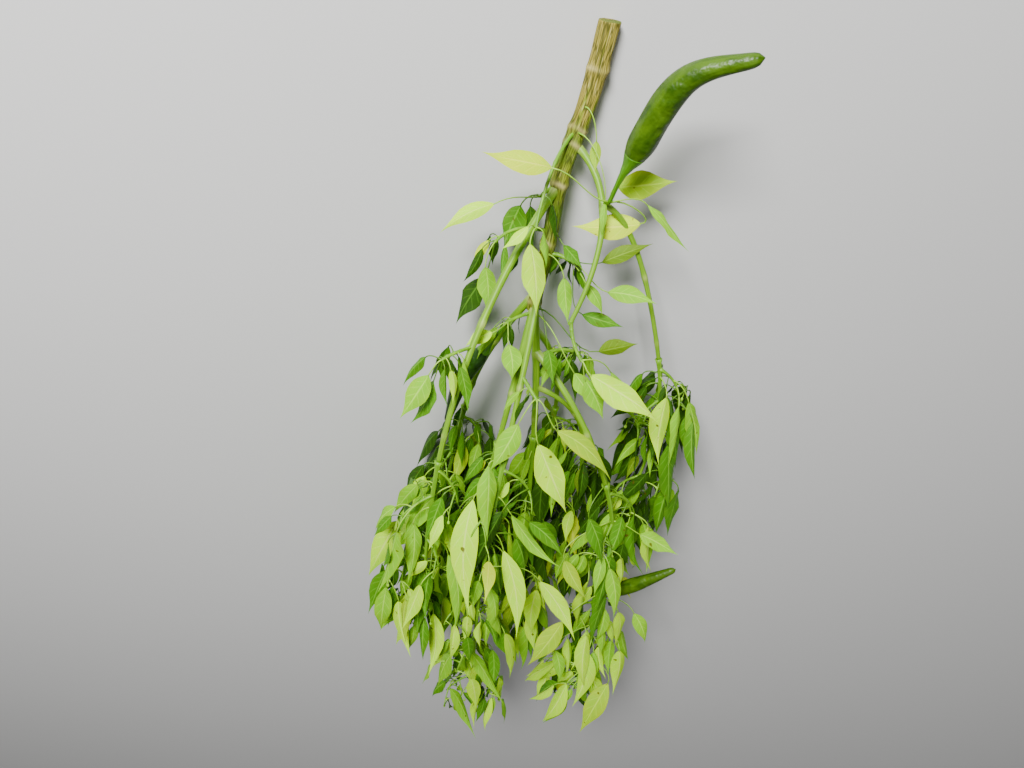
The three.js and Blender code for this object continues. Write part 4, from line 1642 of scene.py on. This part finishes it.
OUTER = {
    Tint.PALE: LeafFinish("leaf_pale", "b8f80c", "e0ff70", "c4f408"),
    Tint.LIME: LeafFinish("leaf_lime", "80c410", "b6ec50", "8cc40c"),
    Tint.FRESH: LeafFinish("leaf_fresh", "4c8a08", "88c438", "54860a"),
    Tint.DEEP: LeafFinish("leaf_deep", "2a4e04", "54841e", "264404"),
    Tint.OLIVE: LeafFinish("leaf_olive", "668a0a", "90b430", "6a860a"),
    Tint.STRAW: LeafFinish("leaf_straw", "98c80c", "c4ea40", "b0cc08"),
    Tint.YELLOW: LeafFinish("leaf_yellow", "c8ec0c", "ecfa50", "d4e808"),
}
INNER = {
    Tint.PALE: LeafFinish("leaf_pale_inside", "5c940c", "8cc034", "548808", 0.42),
    Tint.LIME: LeafFinish("leaf_lime_inside", "4c7c0a", "78a42c", "467206", 0.42),
    Tint.FRESH: LeafFinish("leaf_fresh_inside", "3a6008", "608620", "345604", 0.42),
    Tint.DEEP: LeafFinish("leaf_deep_inside", "264406", "446616", "223c04", 0.4),
    Tint.OLIVE: LeafFinish("leaf_olive_inside", "3e5e08", "66882a", "3c5406", 0.42),
    Tint.STRAW: LeafFinish("leaf_straw_inside", "74a00a", "a0c838", "7ca008", 0.42),
    Tint.YELLOW: LeafFinish("leaf_yellow_inside", "a8cc0c", "ccec48", "b0cc0a", 0.42),
}
PETIOLE = StemFinish("petiole_lime", "8cc018", "b8e058", 0.45, 3.0)
# The darker petioles go with the darker-tinted leaves, mostly inner ones, and carry their painted shade.
DEEP_PETIOLE = StemFinish("petiole_green", "507c08", "70a018", 0.45, 3.0)
TWIG = StemFinish("twig_green", "669c0a", "8cc028", 0.45, 5.0)
BOUGH = StemFinish("bough_green", "6a9c08", "94c41c", 0.45, 12.0)
CALYX = StemFinish("calyx_green", "4a8406", "6ca81c", 0.36, 5.0)
BARK = BarkFinish()
CUT = CutFinish()
GREEN_FRUIT = FruitFinish("fruit_green", "4a6c03", "2c4c02")
DARK_FRUIT = FruitFinish("fruit_dark", "244c04", "143002")
BUD = FruitFinish("bud_pale", "a8dc38", "80b81c", 0.5)
FLOOR = FloorFinish()


@dataclass
class StemWork:
    """The main stem and the boughs, with their ridges, nodes and cut end."""

    limbs: dict[str, Limb]
    sides: int = 40
    rings: int = 190

    def build(self) -> None:
        """Builds and dresses every limb."""
        for name, limb in self.limbs.items():
            main = name == "main_stem"
            piece = self._limb(limb, *((self.sides, self.rings) if main else (16, 90)), main)
            finishes = (BARK, CUT) if main else (BOUGH, BOUGH)
            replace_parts(dressed(piece, "bark" if main else "green_stem", *finishes), name)

    def _limb(self, limb: Limb, sides: int, rings: int, main: bool) -> bpy.types.Object:
        """One closed limb: rings extruded along its course, with a flat face at each end.

        Args:
            limb: the limb.
            sides: sides of each ring.
            rings: number of rings.
            main: whether it is the main stem, with its cut face and bark relief.

        Returns:
            The new object.
        """
        bm = bmesh.new()
        uv = bm.loops.layers.uv.new(MAP)
        joint = bm.verts.layers.float.new("joint")
        caps, rows = draw_tube(bm, rings, sides)
        angles = {vert: math.atan2(vert.co.y, vert.co.x) for vert in bm.verts}
        shares = {vert: vert.co.z for vert in bm.verts}
        for face in bm.faces:
            middle = face.calc_center_median()
            centre = math.atan2(middle.y, middle.x)
            face.smooth = face not in caps
            face.material_index = 1 if face == caps[0] else 0
            for loop in face.loops:
                if face in caps:
                    loop[uv].uv = (0.5 + 0.45 * loop.vert.co.x, 0.5 + 0.45 * loop.vert.co.y)
                    continue
                turn = rolled_out(angles[loop.vert], centre)
                loop[uv].uv = (0.5 + turn / (2 * math.pi), shares[loop.vert])
        for row in rows:
            share = shares[row[0]]
            middle = limb.course.at(share)
            side, back = across_of(limb.course.way(share))
            for vert in row:
                radius = lerp(*limb.radii, share) * self._relief(limb, share, angles[vert], main)
                point = middle + (side * math.cos(angles[vert]) + back * math.sin(angles[vert])) * radius
                point[2] = max(point[2], SIZES.floor_gap)
                vert.co = PLANT.to_row(point)
                vert[joint] = self._joint(limb, share, angles[vert], main)
        bmesh.ops.recalc_face_normals(bm, faces=bm.faces[:])
        return linked(limb.name + "_skin", drawn(limb.name, bm))

    @staticmethod
    def _near(limb: Limb, share: float, node: float, width: float) -> float:
        """How close a place is to a node, 1 on it, within a width in millimetres."""
        return math.exp(-(((share - node) * limb.course.length / width) ** 2))

    def _joint(self, limb: Limb, share: float, angle: float, main: bool) -> float:
        """How far a node's pale cork covers a place.

        Args:
            limb: the limb.
            share: the place's share of the limb's length.
            angle: where it is round the limb.
            main: whether the limb is the main stem.

        Returns:
            A share from 0 to 1.
        """
        uneven = share + 0.006 * math.sin(2 * angle) if main else share
        near = sum(self._near(limb, uneven, node, 2.4 if main else 3.2) for node in limb.nodes)
        foot = 0.0 if main else 1.3 * math.exp(-(((share * limb.course.length - 7) / 6) ** 2))
        return min(near + foot, 1.0) * (0.6 + 0.4 * math.sin(2 * angle + 9 * share))

    def _relief(self, limb: Limb, share: float, angle: float, main: bool) -> float:
        """How far the surface stands from a plain round one: ridges, nodes, scars and a flared root.

        Args:
            limb: the limb.
            share: the place's share of the limb's length.
            angle: where it is round the limb.
            main: whether the limb is the main stem.

        Returns:
            A factor on the radius.
        """
        phase = len(limb.name) * 1.7
        relief = 1 + 0.035 * math.sin(5 * angle + phase + 3 * share)
        relief += 0.02 * math.sin(13 * angle + 9 * share + phase)
        for k, node in enumerate(limb.nodes):
            relief += self._near(limb, share, node, 7.0) * (0.07 if main else 0.14)
            relief += self._near(limb, share, node, 1.8) * 0.05
            scar = 0.5 + 0.5 * math.cos(angle - k * GOLDEN_ANGLE - phase)
            relief += 0.13 * scar**3 * self._near(limb, share, node, 4.5)
        if not main:
            relief += 0.35 * math.exp(-share * limb.course.length / 7)
        return relief + 0.015 * math.sin(share * 23 + phase) + 0.012 * math.sin(share * 41 + 2 * angle)


@dataclass
class Foliage:
    """Everything that hangs on the stems: twigs, petioles, blades and buds."""

    # The darker tints, mostly dealt to inner and lower leaves as painted shade.
    DIM = (Tint.DEEP, Tint.FRESH, Tint.OLIVE)
    BUD_PROFILE = ((0, 0.62, 0.7, 0.8, 0.92, 0.99, 1), (0.5, 0.45, 1.3, 1.75, 1.5, 0.7, 0.2))
    BUD_CHANCE = 0.55
    PETIOLE_PROFILE = ((0, 0.08, 0.3, 1), (1.9, 1.25, 0.95, 0.9))

    growths: Sequence[Growth]
    petiole_radius: float = 0.85
    full_width: float = 34.0

    def build(self) -> None:
        """Builds and dresses the leaves by tint, and the twigs, petioles and buds apart."""
        leaves = [leaf for growth in self.growths for leaf in growth.leaves]
        leaves += [single.leaf() for single in SINGLES]
        LOG.info("%d leaves", len(leaves))
        mould = LeafMould()
        for tint in Tint:
            chosen = [leaf for leaf in leaves if leaf.tint is tint]
            if chosen:
                dressed(mould.cast(f"leaves_{tint.value}", chosen), "foliage", OUTER[tint], INNER[tint])
        self._petioles("petioles", [leaf for leaf in leaves if leaf.tint not in self.DIM], PETIOLE)
        self._petioles("petioles_inside", [leaf for leaf in leaves if leaf.tint in self.DIM], DEEP_PETIOLE)
        self._twigs()
        self._buds()

    def _buds(self) -> None:
        """Small flower buds that nod on short stalks at the ends of the twiglets."""
        rings, lines = 14, []
        shares = np.linspace(0, 1, rings)[:, None]
        profile = np.interp(shares[:, 0], *self.BUD_PROFILE)
        for growth in self.growths:
            for i, twiglet in enumerate(growth.twiglets):
                luck = growth.luck(Seed.BUD, i)
                if luck.draw() > self.BUD_CHANCE:
                    continue
                out = radial(luck.between(0, 2 * math.pi)) * luck.between(3, 7)
                fall = DROOP * luck.between(8, 14) * shares**2
                lines.append(twiglet.at(0.99) + out * np.sin(shares * math.pi / 2) + fall)
        radii = np.tile(profile, (len(lines), 1))
        dressed(TubeMould(rings, 8).cast("buds", np.array(lines), radii), "foliage", BUD)

    def _petioles(self, name: str, leaves: Sequence[Leaf], finish: StemFinish) -> None:
        """Makes petioles that leave their twig outwards and bend down into the blade.

        Args:
            name: the object's name.
            leaves: the leaves.
            finish: the petioles' finish.
        """
        rings = 9
        shares = np.linspace(0, 1, rings)[None, :, None]
        ends = zip(*((leaf.root, leaf.base, leaf.tip) for leaf in leaves))
        root, base, tip = (batch(places) for places in ends)
        span = np.linalg.norm(base - root, axis=2, keepdims=True)
        way = (tip - base) / np.linalg.norm(tip - base, axis=2, keepdims=True)
        sideways = (base - root) * np.array([1.0, 0.0, 1.0])
        first = root + sideways * 0.4 - DROOP * span * 0.06
        lines = cubic(shares, root, first, base - way * span * 0.36, base + way * 1.5)
        size = np.array([min(1.0, 0.55 + 0.45 * leaf.width / self.full_width) for leaf in leaves])[:, None]
        taper = np.interp(shares[0, :, 0], *self.PETIOLE_PROFILE)[None]
        piece = TubeMould(rings, 6).cast(name, lines, taper * size * self.petiole_radius)
        dressed(piece, "foliage", finish)

    def _twigs(self) -> None:
        """The stems, twigs and twiglets of every spray and mass."""
        stems = [(growth.course, growth.radii) for growth in self.growths]
        twigs = [(course, SIZES.twig_radii) for growth in self.growths for course in growth.twigs]
        twiglets = [(course, (1.05, 0.7)) for growth in self.growths for course in growth.twiglets]
        for name, kind, rings, sides, knotted in (
            ("mass_stems", stems, 60, 10, 5),
            ("twigs", twigs + twiglets, 14, 7, 2),
        ):
            lines = np.array([course.points(rings) for course, _ in kind])
            shares = np.linspace(0, 1, rings)
            knots = 1 + 0.22 * np.clip(np.cos(shares * math.pi * 2 * knotted), 0, 1) ** 8
            flare = 1 + 0.5 * np.exp(-shares * rings / 1.6)
            radii = np.array([lerp(*radii, shares) * knots * flare for _, radii in kind])
            piece = dressed(TubeMould(rings, sides).cast(name, lines, radii), "foliage", TWIG)
            if name == "mass_stems":
                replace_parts(piece, *(growth.name for growth in self.growths))


@dataclass
class FruitBasket:
    """The fruits, each with its stalk and calyx."""

    CAP = (
        (0.0, 0.02, 0.04, 0.058, 0.072, 0.08, 0.083, 0.078),
        (0.03, 0.03, 0.03, 0.03, 0.03, 0.035, 0.01, -0.1),
    )
    STALK_PROFILE = ((0, 0.55, 0.85, 1), (0.16, 0.18, 0.27, 0.42))
    LARGE = 12.0

    growths: Sequence[Growth]

    def build(self) -> None:
        """Builds and dresses every fruit."""
        for growth in self.growths:
            for i, fruit in enumerate(growth.fruits):
                name = growth.name.replace("leaf_", "fruit_")
                finish = GREEN_FRUIT if fruit.radius > self.LARGE or fruit.slender else DARK_FRUIT
                dressed(self._body(f"{name}_{i}", fruit), "foliage", finish)
                dressed(self._stalk(f"{name}_{i}_stalk", fruit), "foliage", CALYX)

    def _body(self, name: str, fruit: Fruit) -> bpy.types.Object:
        """The fruit's body, full at the shoulder and drawn out to a bent tip.

        Args:
            name: the object's name.
            fruit: the fruit.

        Returns:
            The new object.
        """
        course, rings = fruit.body_course(), 40
        shares = np.linspace(0, 1, rings)
        full = np.array([self._fullness(share) for share in shares])
        wave = 1 + 0.02 * np.sin(shares * 14 + fruit.radius)
        lines = course.points(rings)[None]
        return TubeMould(rings, 24).cast(name, lines, (fruit.radius * full * wave)[None])

    @staticmethod
    def _fullness(share: float) -> float:
        """The body's radius at a share of its length, 1 at its fullest.

        Args:
            share: a share of the body's length.

        Returns:
            The factor on the fruit's radius.
        """
        shoulder = 0.42 + 0.58 * math.sin(math.pi / 2 * min(share / 0.2, 1.0))
        taper = 1 - 0.62 * smooth(share, 0.34, 1.1) ** 1.1
        end = math.sqrt(max(1 - max((share - 0.93) / 0.07, 0.0) ** 2, 0.0))
        return max(shoulder * taper * end, 0.03)

    def _stalk(self, name: str, fruit: Fruit) -> bpy.types.Object:
        """The stalk, which widens into the calyx cap over the fruit's shoulder.

        Args:
            name: the object's name.
            fruit: the fruit.

        Returns:
            The new object.
        """
        body, start, calyx = fruit.body_course(), fruit.root, LIE.place(fruit.stalk)
        way = body.way(0.02)
        span = float(np.linalg.norm(calyx - start))
        end = calyx - way * 1.5
        shares = np.linspace(0, 1, 20)[:, None]
        stalk = cubic(shares, start, start + unit(end - start) * span * 0.3, end - way * span * 0.45, end)
        cap = np.array([body.at(share) for share in self.CAP[0]])
        lines = np.concatenate([stalk, cap])[None]
        thin = fruit.radius * np.interp(shares[:, 0], *self.STALK_PROFILE)
        wide = fruit.radius * np.array([self._fullness(share) + over for share, over in zip(*self.CAP)])
        return TubeMould(lines.shape[1], 14).cast(name, lines, np.concatenate([thin, wide])[None])


@dataclass
class Studio:
    """The pale floor, the soft lights and the camera, whose eye is in the plant's own numbers."""

    eye: Place = (-168.64, 388.29, 745.75)
    forward: Place = (0.0032, -0.7146, -0.6995)
    right: Place = (0.9998, 0.0172, -0.0131)
    focal: float = 769.0
    picture_width: float = 1024.0
    sensor: float = 36.0
    shift: tuple[float, float] = (0.12, 0.052)
    lamps: tuple[tuple[str, Place, float, float], ...] = (
        ("key", (-0.7, 1.85, 1.35), 0.55, 106.0),
        ("top", (0.3, 0.2, 2.4), 1.6, 5.0),
        ("back", (1.6, -1.2, 1.4), 1.4, 3.0),
    )

    def build(self) -> None:
        """Sets the stage."""
        self._floor()
        self._lights()
        self._camera()

    def _floor(self) -> None:
        """A wide floor whose top is at the ground."""
        bm = bmesh.new()
        bmesh.ops.create_grid(bm, x_segments=1, y_segments=1, size=6.0)
        floor = linked("floor", drawn("floor", bm))
        floor.data.materials.append(FLOOR.material())

    def _lights(self) -> None:
        """A soft key light beyond the cut end, faint ones above and behind the tips, and a pale sky."""
        for name, place, size, power in self.lamps:
            light = bpy.data.lights.new(name, "AREA")
            light.energy = power
            light.size = size
            lamp = linked(name, light)
            lamp.location = place
            towards = Vector((0, 0, 0.08)) - Vector(place)
            lamp.rotation_euler = towards.to_track_quat("-Z", "Y").to_euler()
        world = bpy.data.worlds.new("pale_sky")
        world.use_nodes = True
        sky = world.node_tree.nodes["Background"]
        sky.inputs["Color"].default_value = (0.93, 0.96, 1.0, 1.0)
        sky.inputs["Strength"].default_value = 0.05
        bpy.context.scene.world = world

    def _camera(self) -> None:
        """The camera looks down from beyond the cut end, with that end at the top of the picture."""
        forward, right = Vector(self.forward), Vector(self.right)
        turn = Matrix((right, right.cross(forward), -forward)).transposed().to_4x4()
        data = bpy.data.cameras.new("camera")
        data.sensor_width = self.sensor
        data.lens = self.sensor * self.focal / self.picture_width
        data.shift_x, data.shift_y = self.shift
        data.clip_start = 0.01
        camera = linked("camera", data)
        camera.matrix_world = Matrix.Translation(PLANT.to_row(np.array(self.eye))) @ turn
        bpy.context.scene.camera = camera


class Plant:
    """The whole plant, and the step from its own numbers to the row's frame."""

    STEM_RINGS = 25
    STEM_SIDES = 10

    def __init__(self) -> None:
        """Lays the limbs and growths, and finds the plant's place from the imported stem."""
        self.limbs: dict[str, Limb] = {}
        for limb in (MAIN_STEM, *BOUGHS):
            limb.lay(self.limbs)
            self.limbs[limb.name] = limb
        self.growths: list[Growth] = [*SPRAYS, *MASSES]
        for growth in self.growths:
            growth.lay(self.limbs)
        self._shift = self._find_shift()

    def _find_shift(self) -> np.ndarray:
        """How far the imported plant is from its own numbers, read from the stem's box."""
        course, low = MAIN_STEM.course, np.full(3, 1e9)
        for i in range(self.STEM_RINGS):
            share = i / (self.STEM_RINGS - 1)
            side, back = across_of(course.way(share))
            for k in range(self.STEM_SIDES):
                angle = 2 * math.pi * k / self.STEM_SIDES
                out = side * math.sin(angle) + back * math.cos(angle)
                low = np.minimum(low, course.at(share) + out * MAIN_STEM.radius_at(share))
        packed = np.array(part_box("main_stem")[0]) / MM
        LOG.info("shift %s mm", np.round(packed - low, 3))
        return packed - low

    def to_row(self, points: np.ndarray) -> np.ndarray:
        """Millimetres in the plant's own numbers to metres in the row's frame."""
        return (points + self._shift) * MM

    def grow(self) -> None:
        """Grows the sprays, then the masses."""
        gardener = Gardener(self.limbs, self.growths)
        for growth in self.growths:
            (gardener.grow_mass if growth.twig_count else gardener.grow_spray)(growth)


PLANT = Plant()


def main() -> None:
    """Builds the plant and its studio."""
    PLANT.grow()
    StemWork(PLANT.limbs).build()
    Foliage(PLANT.growths).build()
    FruitBasket(PLANT.growths).build()
    Studio().build()
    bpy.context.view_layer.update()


if __name__ == "__main__":
    main()
